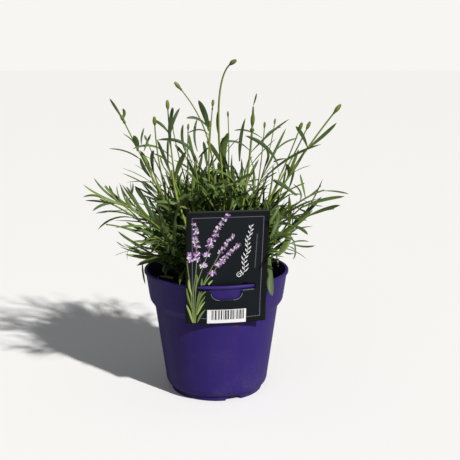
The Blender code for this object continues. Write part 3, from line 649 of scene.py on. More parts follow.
def tube_shape(line, radii, sides, ridges=None):
    """A ring of points about each point of a line: the line plus the radius times (cos, sin) of the angle, on
    two directions square to it."""
    along = np.gradient(line, axis=0)
    along /= np.linalg.norm(along, axis=1, keepdims=True)
    first = np.array([0.0, 1.0, 0.0]) - along[:, 1:2] * along
    first /= np.linalg.norm(first, axis=1, keepdims=True)
    second = np.cross(along, first)
    turns = np.linspace(0, 2 * math.pi, sides, endpoint=False)
    shape = np.ones(sides) if ridges is None else ridges(turns)
    spread = np.asarray(radii)[:, None, None] * shape[None, :, None]
    points = line[:, None] + spread * (
        first[:, None] * np.cos(turns)[None, :, None] + second[:, None] * np.sin(turns)[None, :, None]
    )
    last = (len(line) - 1) * sides
    faces = grid_faces(len(line), sides, close_columns=True).tolist()
    faces += [list(range(sides - 1, -1, -1)), list(range(last, last + sides))]
    return points.reshape(-1, 3), faces


def bark():
    """Old lavender bark: long fissures along the stem, grey on the ridges and dark brown between."""
    material, tree, shader = new_material("grey_bark")
    where = add_node(tree, "ShaderNodeMapping", Vector=place(tree), Scale=(1, 1, 0.25)).outputs[0]
    ridges = noise(tree, where, 900, 4, 0.65)
    colour = mixed(tree, stepped(tree, ridges, 0.40, 0.65), (0.030, 0.018, 0.010, 1), (0.20, 0.15, 0.105, 1))
    link(tree, colour, shader.inputs["Base Color"])
    shader.inputs["Roughness"].default_value = 0.9
    bump(tree, shader, ridges, 0.0012, 1.0)
    return material


def stacked(shapes):
    """Several (points, faces) shapes as one."""
    points, faces, first = [], [], 0
    for some_points, some_faces in shapes:
        points.append(some_points)
        faces += [[int(i) + first for i in face] for face in some_faces]
        first += len(some_points)
    return np.concatenate(points), faces


def fluted_section(turns):
    """Old wood's cross section: a circle swollen by three broad lobes and seven shallow ones."""
    return 1 + 0.09 * np.sin(3 * turns + 1) + 0.05 * np.sin(7 * turns)


def wood_shape():
    """The main stem and its stubs as knobbly tubes that narrow upwards: the radius swells by a sine along the
    length and loses three tenths to the top."""
    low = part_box("woody_crown")[0]
    shapes = []
    for turn, lean, length, thick in WOOD:
        s = np.linspace(0, 1, 12)
        lean = math.radians(lean)
        way = np.array([math.cos(turn) * math.sin(lean), math.sin(turn) * math.sin(lean), math.cos(lean)])
        line = np.array([0, 0, low.z - 0.0015]) + s[:, None] * length * way
        knobs = 1 + 0.10 * np.sin(9 * s + turn) - 0.30 * s
        shapes.append(tube_shape(line, thick * knobs, 14, fluted_section))
    return stacked(shapes)


wood_points, wood_faces = wood_shape()
wood = add_piece("old_wood", wood_points, wood_faces, [bark()], 50)
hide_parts("woody_crown")

# ---- How the plant grows ---------------------------------------------------------------------
# Stems rise from a sunflower spiral of rooting places on the compost, each a single curve. Leaves
# stand in opposite pairs, each pair turned a quarter from the last, and keep off the pot and card.

LABEL_TURN = math.radians(8.7)
LABEL_LEAN = math.radians(10.5)
LABEL_REACH = 0.0656
LABEL_HALF_WIDTH = 0.0370
LABEL_ABOVE_SLOT = 0.0720
LABEL_BELOW_SLOT = 0.0370
ROOTING_INNER_RADIUS = 0.0090
ROOTING_OUTER_RADIUS = 0.0320
STEM_START = 0.0012
SPREAD_ACROSS = 0.1250
SPREAD_DEEP = 0.1020
STEM_CLEARANCE = 0.0044
GOLDEN_ANGLE = math.pi * (3 - math.sqrt(5))
# Where no leaf grows: below this radius and height lies compost, between these radii stands the wall.
COMPOST_REACH = (0.0665, 0.1105)
WALL_REACH = (0.0635, 0.0730)
WALL_GAP = 0.0015
LABEL_GAP = 0.003


def in_free_air(points):
    """Whether leaf points keep off the compost, the pot's wall and the label, and inside the spread."""
    x, y, z = np.asarray(points, float).T
    radius = np.hypot(x, y)
    in_compost = (radius < COMPOST_REACH[0]) & (z < COMPOST_REACH[1])
    in_wall = (radius > WALL_REACH[0]) & (radius < WALL_REACH[1]) & (z < POT_HEIGHT + WALL_GAP)
    across = x * math.cos(LABEL_TURN) + y * math.sin(LABEL_TURN)
    reach = x * math.sin(LABEL_TURN) - y * math.cos(LABEL_TURN)
    up = (z - POT_HEIGHT) / math.cos(LABEL_LEAN)
    label_side = np.abs(across) < LABEL_HALF_WIDTH + LABEL_GAP
    label_rows = (up > -LABEL_BELOW_SLOT - LABEL_GAP) & (up < LABEL_ABOVE_SLOT + LABEL_GAP)
    past_label = reach > LABEL_REACH + up * math.sin(LABEL_LEAN) - LABEL_GAP
    too_wide = (np.abs(x) > SPREAD_ACROSS) | (np.abs(y) > SPREAD_DEEP)
    return not (in_compost | in_wall | (label_side & label_rows & past_label) | too_wide).any()


def rooting_places(tips):
    """A foot on the compost for each stem: the free place of a sunflower spiral nearest its own direction."""
    count = len(tips)
    order = np.arange(count) + 0.5
    inner, outer = ROOTING_INNER_RADIUS**2, ROOTING_OUTER_RADIUS**2
    radius = np.sqrt(inner + (outer - inner) * order / count)
    places = np.stack([radius * np.cos(order * GOLDEN_ANGLE), radius * np.sin(order * GOLDEN_ANGLE)], axis=1)
    tips = np.asarray(tips)
    flat = np.hypot(tips[:, 0], tips[:, 1])
    lean = flat / (tips[:, 2] - CROWN_HEIGHT)
    wanted = tips[:, :2] / flat[:, None] * (ROOTING_OUTER_RADIUS * np.clip(lean / 1.6, 0.15, 1.0))[:, None]
    feet = np.zeros((count, 3))
    free = list(range(count))
    for index in np.argsort(-lean):
        nearest = min(free, key=lambda place: float(np.hypot(*(places[place] - wanted[index]))))
        free.remove(nearest)
        x, y = places[nearest]
        feet[index] = x, y, float(compost_top(math.hypot(x, y))) + STEM_START
    return feet


def stem_line(foot, tip, bow, shares):
    """Points and directions on a stem: a quadratic curve from its foot to its tip, bowed off the straight."""
    middle = (foot + tip) / 2 + 2 * np.asarray(bow)
    s = np.asarray(shares)[:, None]
    points = (1 - s) ** 2 * foot + 2 * s * (1 - s) * middle + s * s * tip
    along = 2 * (1 - s) * (middle - foot) + 2 * s * (tip - middle)
    return points, along / np.linalg.norm(along, axis=1, keepdims=True)


def settled(foot, tip, bow, lines):
    """The tip and bow, nudged sideways in a growing spiral until the stem runs clear of all lines so far."""
    for step in range(240):
        reach, turn = 0.0011 * math.sqrt(step), step * GOLDEN_ANGLE
        nudge = np.array((reach * math.cos(turn), reach * math.sin(turn), 0))
        new_tip, new_bow = tip + 0.5 * nudge, bow + nudge
        line = stem_line(foot, new_tip, new_bow, np.linspace(0, 1, 70))[0]
        gaps = [np.linalg.norm(line[:, None] - other[None], axis=2).min() for other in lines]
        if in_free_air(line[2:]) and min(gaps, default=1.0) > STEM_CLEARANCE:
            break
    lines.append(line)
    return new_tip, new_bow


def across_stem(along):
    """Two directions square to a stem's own, on which its leaf pairs stand in turn."""
    first = np.array([0.0, 1.0, 0.0]) - along[1] * along
    first /= np.linalg.norm(first)
    return first, np.cross(along, first)


def leaf_line(root, along, outward, length, opening, curl, count):
    """A midrib that leaves the stem at the angle `opening` and bends evenly outwards by `curl`."""
    s = np.linspace(0, 1, count)[:, None]
    turn = opening + curl * s
    run = (np.sin(turn) - math.sin(opening)) / curl
    rise = (math.cos(opening) - np.cos(turn)) / curl
    return root + length * (run * along + rise * outward)


def grown_leaves(foot, tip, bow, pairs, leafy_share, leaf_length, draw):
    """Every leaf of a stem, as (midrib root, along, outward, length, opening, curl). A leaf that would touch
    something is shortened until it no longer does, or left out."""
    shares = 0.14 + (leafy_share - 0.14) * (np.arange(pairs) / (pairs - 1)) ** 0.9
    points, ways = stem_line(foot, tip, bow, shares)
    leaves = []
    for index, (root, along) in enumerate(zip(points, ways)):
        first, second = across_stem(along)
        age = index / (pairs - 1)
        for side in range(2):
            outward = (first, second, -first, -second)[index % 2 + 2 * side]
            skew = draw.uniform(-0.35, 0.35)
            outward = outward * math.cos(skew) + np.cross(along, outward) * math.sin(skew)
            length = leaf_length * draw.uniform(0.80, 1.10) * (1.0 - 0.35 * age**4)
            opening = math.radians(draw.uniform(18, 34) - 8 * age)
            curl = math.radians(draw.uniform(35, 75) * (1 - 0.55 * age))
            for _ in range(16):
                line = leaf_line(root, along, outward, length, opening, curl, 9)
                if in_free_air(line[1:]):
                    leaves.append((root, along, outward, length, opening, curl))
                    break
                length *= 0.93
    return leaves


USUAL_LEAF = 0.036
LEAF_ROWS = 9
LONG_LEAF_ROWS = 12
LEAF_RING = np.array([(-1, -0.22), (-0.5, 0.10), (0, -0.04), (0.5, 0.10), (1, -0.22), (0, -0.24)])
LEAF_OUTLINE = ((0, 0.32), (0.12, 0.48), (0.30, 0.82), (0.52, 1.0), (0.74, 0.98), (0.90, 0.70), (1, 0.08))


def blade_shapes(lines, ups, half_widths, twists, tones, kind):
    """Leaf blades. About each midrib runs a six-point ring: sideways by the outline's width at that
    share of the length, and up or down by a tenth or two of it, so that the margins roll under.
    The ring turns about the midrib by the twist. Returns points, faces and a growth attribute."""
    lines = np.asarray(lines, float)
    count, rows = lines.shape[:2]
    t = np.linspace(0, 1, rows)
    width = np.interp(t, *zip(*LEAF_OUTLINE))[None, :] * np.asarray(half_widths)[:, None]
    along = np.gradient(lines, axis=1)
    along /= np.linalg.norm(along, axis=2, keepdims=True)
    side = np.cross(along, np.asarray(ups)[:, None])
    side /= np.linalg.norm(side, axis=2, keepdims=True) + 1e-12
    up = np.cross(side, along)
    turn = (np.asarray(twists)[:, None] * t[None])[..., None]
    side, up = side * np.cos(turn) + up * np.sin(turn), up * np.cos(turn) - side * np.sin(turn)
    across, rise = LEAF_RING[:, 0], LEAF_RING[:, 1]
    points = lines[:, :, None] + width[:, :, None, None] * (
        side[:, :, None] * across[None, None, :, None] + up[:, :, None] * rise[None, None, :, None]
    )
    quads = grid_faces(rows, 6, close_columns=True)
    first = np.arange(count)[:, None, None] * rows * 6
    faces = (quads[None] + first).reshape(-1, 4).tolist()
    faces += (np.arange(5, -1, -1)[None] + first[:, 0]).tolist()
    faces += (np.arange(6)[None] + (rows - 1) * 6 + first[:, 0]).tolist()
    growth = np.empty((count, rows, 6, 4))
    growth[..., 0] = t[None, :, None]
    growth[..., 1] = (np.arange(6) == 5)[None, None]
    growth[..., 2] = np.asarray(tones)[:, None, None]
    growth[..., 3] = kind
    return points.reshape(-1, 3), faces, growth.reshape(-1, 4)


def green_growth():
    """Lavender leaf and stem. The growth attribute gives the share of the length, the underside, the tone and
    how young the part is: old parts are deep green, young ones yellow-green, undersides paler, tips brown."""
    material, tree, shader = new_material("lavender_green")
    layer = tree.nodes.new("ShaderNodeAttribute")
    layer.attribute_name = "growth"
    parts = add_node(tree, "ShaderNodeSeparateColor", Color=layer.outputs["Color"]).outputs
    length, under, tone, young = parts[0], parts[1], parts[2], layer.outputs["Alpha"]
    grain = use_group(tree, GRAIN, Coarse_Scale=120.0, Fine_Scale=2400.0, Fine_Share=0.4)
    old = mixed(tree, tone, (0.024, 0.052, 0.010, 1), (0.100, 0.172, 0.034, 1))
    fresh = mixed(tree, tone, (0.090, 0.140, 0.016, 1), (0.255, 0.315, 0.046, 1))
    colour = mixed(tree, young, old, fresh)
    colour = tinted(tree, colour, faded(tree, length, 0.0, 0.30), 0.40, (0.120, 0.180, 0.036, 1))
    colour = tinted(tree, colour, under, 0.45, (0.110, 0.160, 0.070, 1))
    patchy = stepped(tree, grain["Coarse"], 0.45, 0.6)
    tipped = maths(tree, "MULTIPLY", stepped(tree, length, 0.86, 1.0), patchy)
    colour = tinted(tree, colour, tipped, 0.45, (0.130, 0.110, 0.050, 1))
    colour = tinted(tree, colour, stepped(tree, grain["Height"], 0.45, 0.95), 0.18, (0.150, 0.190, 0.090, 1))
    link(tree, colour, shader.inputs["Base Color"])
    link(tree, maths(tree, "MULTIPLY_ADD", grain["Coarse"], 0.25, 0.38), shader.inputs["Roughness"])
    shader.inputs["Specular IOR Level"].default_value = 0.28
    bump(tree, shader, grain["Height"], 0.00018, 0.6)
    return material


GREEN = green_growth()


def square_section(turns):
    """A lavender stem's cross section: a square with round corners and a shallow groove on each side."""
    return 1 + 0.10 * np.cos(4 * turns)


def stem_shape(foot, tip, bow, low_radius, high_radius, bud_share=1.0, rows=26, freshness=0.0):
    """The stem itself, sunk a little into the compost. Its radius runs straight from low to high; it is
    yellower towards the top and darker just under its end."""
    s = np.linspace(0, bud_share, rows)
    line = stem_line(foot, tip, bow, s)[0]
    line[0] -= [0, 0, 0.004]
    radii = low_radius + (high_radius - low_radius) * s
    points, faces = tube_shape(line, radii, 8, square_section)
    growth = np.tile([0.5, 0.0, 0.35, 0.75], (len(points), 1))
    growth[:, 3] = np.repeat(np.clip(0.40 + 0.60 * s + freshness, 0, 1), 8)
    growth[:, 2] = np.repeat(np.clip(0.25 + 0.45 * s + freshness, 0, 1) * (1 - 0.55 * s**4), 8)
    return points, faces, growth


def with_growth(shapes):
    """Several (points, faces, growth) shapes as one."""
    points, faces = stacked([shape[:2] for shape in shapes])
    return points, faces, np.concatenate([shape[2] for shape in shapes])


def add_growth(name, shapes):
    """A green piece made of every shape that has anything in it."""
    points, faces, growth = with_growth([shape for shape in shapes if shape])
    return add_piece(name, points, faces, [GREEN], 55, growth=growth)


# Which leaves have been shed, by how far out and how high the leaf's middle is. Of those that hang low
# outside the rim, or stand above the mass, few stay.
PLANT_MIDDLE = -0.004
HANGING_OUT, HANGING_HEIGHT, HANGING_FALL = 0.057, 0.163, 0.05
HIGH_OUT, HIGH_HEIGHT, HIGH_RISE = 0.075, 0.172, 0.55
STAYING_LEFT, STAYING_RIGHT, STAYING_HIGH = 0.06, 0.18, 0.14
STAYING_LEAST, STAYING_MOST = 0.24, 0.85
THINNING_FROM, THINNING_WIDTH = 0.042, 0.050


def is_shed(line, draw):
    """Whether a leaf has been shed: by a share for its zone, which in the mass falls evenly outwards."""
    middle = line[len(line) // 2]
    out = abs(middle[0] - PLANT_MIDDLE)
    if out > HANGING_OUT and middle[2] < HANGING_HEIGHT - HANGING_FALL * (out - HANGING_OUT):
        staying = STAYING_LEFT if middle[0] < 0 else STAYING_RIGHT
    elif middle[2] > HIGH_HEIGHT + HIGH_RISE * max(0.0, HIGH_OUT - out):
        staying = STAYING_HIGH
    else:
        falling = STAYING_MOST - (out - THINNING_FROM) / THINNING_WIDTH
        staying = float(np.clip(falling, STAYING_LEAST, STAYING_MOST))
    return draw.uniform(0, 1) > staying


def stem_leaves(leaves, width, draw, young):
    """The blades of one stem's leaves. Each tries a longer midrib with another bend than its growth rule
    gives, and drifts sideways by the square of the share of its length."""
    lines, kept = [], []
    for leaf in leaves:
        root, along, outward, length, opening, curl = leaf
        longer = length * draw.uniform(1.0, 1.45)
        bent = curl * draw.uniform(0.5, 1.7)
        line = leaf_line(root, along, outward, longer, opening * draw.uniform(0.6, 1.3), bent, LEAF_ROWS)
        if not in_free_air(line[1:]):
            line = leaf_line(*leaf, LEAF_ROWS)
        if not is_shed(line, draw):
            lines.append(line)
            kept.append(leaf)
    if not kept:
        return None
    count = len(kept)
    drift = draw.uniform(-0.16, 0.16, count)
    t = np.linspace(0, 1, LEAF_ROWS)
    sides = np.array([np.cross(along, outward) for _, along, outward, *_ in kept])
    lengths = np.array([leaf[3] for leaf in kept])
    lines = np.array(lines) + (sides * (drift * lengths)[:, None])[:, None] * (t**2)[None, :, None]
    ups = np.array([along - outward * 0.35 for _, along, outward, *_ in kept])
    widths = width * draw.uniform(0.75, 1.2, count) * np.clip(lengths / USUAL_LEAF, 0.6, 1.15)
    return blade_shapes(lines, ups, widths, draw.uniform(-0.9, 0.9, count), draw.uniform(0, 1, count), young)


def side_tufts(leaves, draw, length, width, young):
    """Two small leaves in the angle between each leaf and the stem. Each is tried for shedding twice."""
    ups, tufts = [], []
    for root, along, outward, *_ in leaves:
        for _ in range(2):
            turn = draw.uniform(-0.9, 0.9)
            way = outward * math.cos(turn) + np.cross(along, outward) * math.sin(turn)
            size = length * draw.uniform(0.5, 1.15)
            opening = math.radians(draw.uniform(10, 40))
            curl = math.radians(draw.uniform(15, 60))
            line = leaf_line(root + along * 0.002, along, way, size, opening, curl, 6)
            if in_free_air(line[1:]) and not is_shed(line, draw) and not is_shed(line, draw):
                tufts.append(line)
                ups.append(along - way * 0.3)
    if not tufts:
        return None
    count = len(tufts)
    widths = width * draw.uniform(0.7, 1.2, count)
    return blade_shapes(tufts, ups, widths, draw.uniform(-0.6, 0.6, count), draw.uniform(0, 1, count), young)


# ---- Flower stalks ---------------------------------------------------------------------------
# Slender square stalks, leafy low down and bare above, each ending in a tight green bud of
# overlapping bracts. None is open yet. They root among the leafy shoots.

# (tip of the bud, sideways bow of the stalk, bud length, leaf pairs)
FLOWER_STALKS = (
    ((0.016, -0.006, 0.316), (-0.0150, 0.0, 0.045), 0.0125, 4),
    ((-0.039, 0.010, 0.297), (0.0270, 0.0, 0.014), 0.0095, 3),
    ((-0.044, -0.020, 0.282), (-0.004, 0.0, 0.004), 0.0085, 3),
    ((-0.053, -0.045, 0.269), (-0.007, 0.0, 0.004), 0.0085, 2),
    ((-0.003, 0.030, 0.279), (-0.003, 0.0, 0.004), 0.0080, 2),
    ((-0.005, -0.034, 0.265), (-0.004, 0.0, 0.004), 0.0060, 2),
    ((-0.069, 0.022, 0.245), (-0.004, 0.0, 0.006), 0.0070, 2),
    ((-0.028, 0.046, 0.254), (-0.003, 0.004, 0.004), 0.0085, 3),
    ((-0.044, 0.062, 0.252), (-0.003, 0.004, 0.004), 0.0065, 2),
    ((-0.087, -0.016, 0.268), (-0.0060, 0.0, 0.010), 0.0090, 4),
    ((0.011, 0.062, 0.265), (0.004, 0.004, 0.004), 0.0070, 2),
    ((0.034, -0.036, 0.279), (0.006, 0.0, 0.004), 0.0150, 3),
    ((0.047, 0.032, 0.257), (0.004, 0.0, 0.006), 0.0065, 2),
    ((0.057, 0.066, 0.257), (0.006, 0.004, 0.006), 0.0065, 2),
    ((0.078, -0.031, 0.262), (0.006, 0.0, 0.006), 0.0080, 2),
    ((0.090, 0.026, 0.257), (0.006, 0.0, 0.008), 0.0085, 3),
    ((0.115, -0.010, 0.277), (-0.002, 0.0, 0.008), 0.0095, 3),
)
STALK_LEAF_LENGTH = 0.036
STALK_LEAFY_SHARE = 0.55

# The leafy shoots are placed here too, because stalks and shoots share out the rooting places.
# Rings of shoots round the middle: (count, lean in degrees, length, first direction).
SHOOT_RINGS = (
    (5, 10, 0.112, 0.35),
    (10, 24, 0.116, 0.10),
    (12, 45, 0.114, 0.22),
)
LABEL_SECTOR = math.radians(42)
LEAN_BEHIND_LABEL = 26

# Single shoots that flop over the rim or stand out of the rings: (tip, bow, leaf length).
STRAY_SHOOTS = (
    ((-0.080, -0.036, 0.147), (0.0, 0.0, 0.012), 0.030),
    ((-0.064, -0.008, 0.150), (0.0, 0.0, 0.012), 0.034),
    ((0.050, -0.046, 0.166), (0.0, 0.0, 0.012), 0.042),
    ((-0.060, -0.080, 0.166), (0.0, 0.0, 0.014), 0.038),
    ((0.072, -0.078, 0.170), (0.0, 0.0, 0.014), 0.038),
    ((0.072, -0.024, 0.196), (0.006, 0.0, 0.012), 0.044),
    ((-0.112, 0.006, 0.186), (0.004, 0.0, 0.010), 0.038),
    ((-0.104, -0.016, 0.166), (0.004, 0.0, 0.012), 0.038),
    ((0.114, 0.010, 0.176), (-0.004, 0.0, 0.014), 0.038),
    ((0.100, -0.024, 0.200), (-0.004, 0.0, 0.014), 0.038),
)
SHOOT_PAIRS = 10
SHOOT_LEAF_LENGTH = 0.040


def leafy_shoots():
    """(tip, bow, leaf length, pairs) of every leafy shoot: the rings, then the strays."""
    shoots = []
    draw = np.random.RandomState(7)
    for count, lean_degrees, length, first in SHOOT_RINGS:
        for index in range(count):
            turn = first + (index + draw.uniform(-0.22, 0.22)) * 2 * math.pi / count
            off_label = abs((turn + math.pi / 2 - LABEL_TURN + math.pi) % (2 * math.pi) - math.pi)
            lean = math.radians(lean_degrees + draw.uniform(-5, 5))
            if off_label < LABEL_SECTOR:
                lean = min(lean, math.radians(LEAN_BEHIND_LABEL))
            reach = length * draw.uniform(0.92, 1.10)
            outward = 0.010 + reach * math.sin(lean)
            tip = (outward * math.cos(turn), outward * math.sin(turn), CROWN_HEIGHT + reach * math.cos(lean))
            shoots.append((tip, (0.0, 0.0, 0.010), SHOOT_LEAF_LENGTH, SHOOT_PAIRS))
    shoots += [(tip, bow, leaf, SHOOT_PAIRS) for tip, bow, leaf in STRAY_SHOOTS]
    return shoots


# Each stalk's radius at its foot and under its bud.
STALK_RADII = (
    (0.00120, 0.00060), (0.00100, 0.00048), (0.00095, 0.00052), (0.00095, 0.00050), (0.00085, 0.00046),
    (0.00080, 0.00040), (0.00085, 0.00042), (0.00090, 0.00045), (0.00085, 0.00042), (0.00100, 0.00052),
    (0.00085, 0.00042), (0.00110, 0.00085), (0.00085, 0.00040), (0.00085, 0.00040), (0.00090, 0.00050),
    (0.00095, 0.00052), (0.00100, 0.00068),
)
BRACT_PITCH = 0.0016
# Each stalk's bud, as parts of (start and end below the tip, half width, tone).
BUDS = (
    ((0.0135, 0.0095, 0.0013, 0.05), (0.0105, 0.0040, 0.0021, 0.45), (0.0065, 0.0, 0.0019, 0.75)),
    ((0.0108, 0.0072, 0.0012, 0.05), (0.0085, 0.0, 0.00185, 0.55)),
    ((0.0086, 0.0, 0.00175, 0.50),),
    ((0.0082, 0.0, 0.0018, 0.45),),
    ((0.0110, 0.0082, 0.0010, 0.10), (0.0066, 0.0, 0.0015, 0.55)),
    ((0.0058, 0.0, 0.0011, 0.45),),
    ((0.0062, 0.0, 0.0011, 0.45),),
    ((0.0066, 0.0, 0.0012, 0.40),),
    ((0.0058, 0.0, 0.0011, 0.45),),
    ((0.0112, 0.0062, 0.0014, 0.05), (0.0075, 0.0008, 0.0017, 0.20)),
    ((0.0062, 0.0, 0.0011, 0.45),),
    ((0.0330, 0.0290, 0.0012, 0.10), (0.0265, 0.0225, 0.0022, 0.25), (0.0205, 0.0090, 0.0019, 0.10),
     (0.0120, 0.0020, 0.0010, 0.15)),
    ((0.0064, 0.0, 0.0012, 0.40),),
    ((0.0062, 0.0, 0.0011, 0.45),),
    ((0.0082, 0.0, 0.00175, 0.18),),
    ((0.0082, 0.0, 0.00175, 0.18),),
    ((0.0110, 0.0085, 0.0012, 0.05), (0.0092, 0.0, 0.0020, 0.45)),
)


def bud_shape(base, along, length, half_width, tone, draw):
    """One closed head round a spindle core: rings of five pointed bracts, each ring set between the bracts of
    the ring below. A bract is a small blade on a line that bulges by a sine over the head's egg outline."""
    first, second = across_stem(along)
    rings = max(3, int(round(length / BRACT_PITCH)))
    ring, k = np.divmod(np.arange(rings * 5), 5)
    share = (ring / rings)[:, None, None]
    girth = half_width * np.sin(math.pi * (0.18 + 0.77 * share)) ** 0.8
    turn = (k + 0.5 * (ring % 2)) * 2 * math.pi / 5 + draw.uniform(-0.15, 0.15, len(k))
    out = first * np.cos(turn)[:, None] + second * np.sin(turn)[:, None]
    t = np.linspace(0, 1, 5)[None, :, None]
    swell = girth * (0.50 + 0.55 * np.sin(math.pi * (0.12 + 0.60 * t))) * (1 - 0.40 * t * share)
    lines = base + along * (share + 0.36 * t) * length * 0.86 + out[:, None] * swell
    widths = half_width * 0.60 * draw.uniform(0.85, 1.1, len(k))
    tones = np.clip(tone * (0.45 + 1.0 * share[:, 0, 0]) + draw.uniform(-0.15, 0.15, len(k)), 0, 1)
    core_s = np.linspace(0, 1, 7)
    core = tube_shape(base + along * (core_s * length * 0.95)[:, None],
                      half_width * 0.72 * np.sin(math.pi * (0.12 + 0.80 * core_s)), 8)
    core_growth = np.tile([0.5, 0.0, tone * 0.4, 0.6], (len(core[0]), 1))
    bracts = blade_shapes(lines, out, widths, np.zeros(len(k)), tones, 1.0)
    bracts[2][:, 1] = 0
    bracts[2][:, 0] = 0.35 + 0.45 * bracts[2][:, 0]
    return with_growth([bracts, (*core, core_growth)])


def flower_head(index, foot, tip, bow, draw):
    """Every part of one stalk's bud, threaded on the stalk's own curve."""
    whole = float(np.linalg.norm(tip - foot))
    heads = []
    for below, above, half_width, tone in BUDS[index]:
        base, along = stem_line(foot, tip, bow, [1 - below / whole])
        heads.append(bud_shape(base[0], along[0], below - above, half_width, tone, draw))
    return with_growth(heads)


shoots = leafy_shoots()
feet = rooting_places([stalk[0] for stalk in FLOWER_STALKS] + [shoot[0] for shoot in shoots])
stem_lines = []

for index, (tip, bow, bud_length, pairs) in enumerate(FLOWER_STALKS):
    foot = feet[index]
    tip, bow = settled(foot, np.array(tip), np.array(bow), stem_lines)
    draw = np.random.RandomState(100 + index)
    leaves = grown_leaves(foot, tip, bow, pairs * 2, STALK_LEAFY_SHARE, STALK_LEAF_LENGTH, draw)
    draw = np.random.RandomState(300 + index)
    length = float(np.linalg.norm(tip - foot))
    shapes = [
        stem_shape(foot, tip, bow, *STALK_RADII[index], 1 - 0.5 * bud_length / length, 34, 0.35),
        stem_leaves(leaves, 0.0017, draw, 0.30),
        side_tufts(leaves[: len(leaves) // 2], draw, 0.017, 0.0010, 0.35),
        flower_head(index, foot, tip, bow, draw),
    ]
    stalk = add_growth(f"flower_stalk_{index + 1:02d}_green", shapes)
    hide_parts(f"flower_stalk_{index + 1:02d}")

# ---- Leafy shoots ----------------------------------------------------------------------------
# Soft shoots of this year's growth, thick with narrow leaves whose margins roll under, and with
# tufts of small leaves in their angles.

for index, (tip, bow, leaf_length, pairs) in enumerate(shoots):
    foot = feet[len(FLOWER_STALKS) + index]
    tip, bow = settled(foot, np.array(tip), np.array(bow), stem_lines)
    leaves = grown_leaves(foot, tip, bow, pairs, 0.97, leaf_length, np.random.RandomState(200 + index))
    draw = np.random.RandomState(400 + index)
    shapes = [
        stem_shape(foot, tip, bow, 0.0013, 0.0006),
        stem_leaves(leaves, 0.0018, draw, 0.14),
        side_tufts(leaves, draw, 0.019, 0.0010, 0.24),
    ]
    shoot = add_growth(f"leafy_shoot_{index + 1:02d}_green", shapes)
    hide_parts(f"leafy_shoot_{index + 1:02d}")

# ---- Long leaves -----------------------------------------------------------------------------
# Single leaves that stand clear of the mass, most of them long: each springs from its stem, or from
# the shoots about it, arches over and twists a little. Inner leaves and young stems fill in behind.

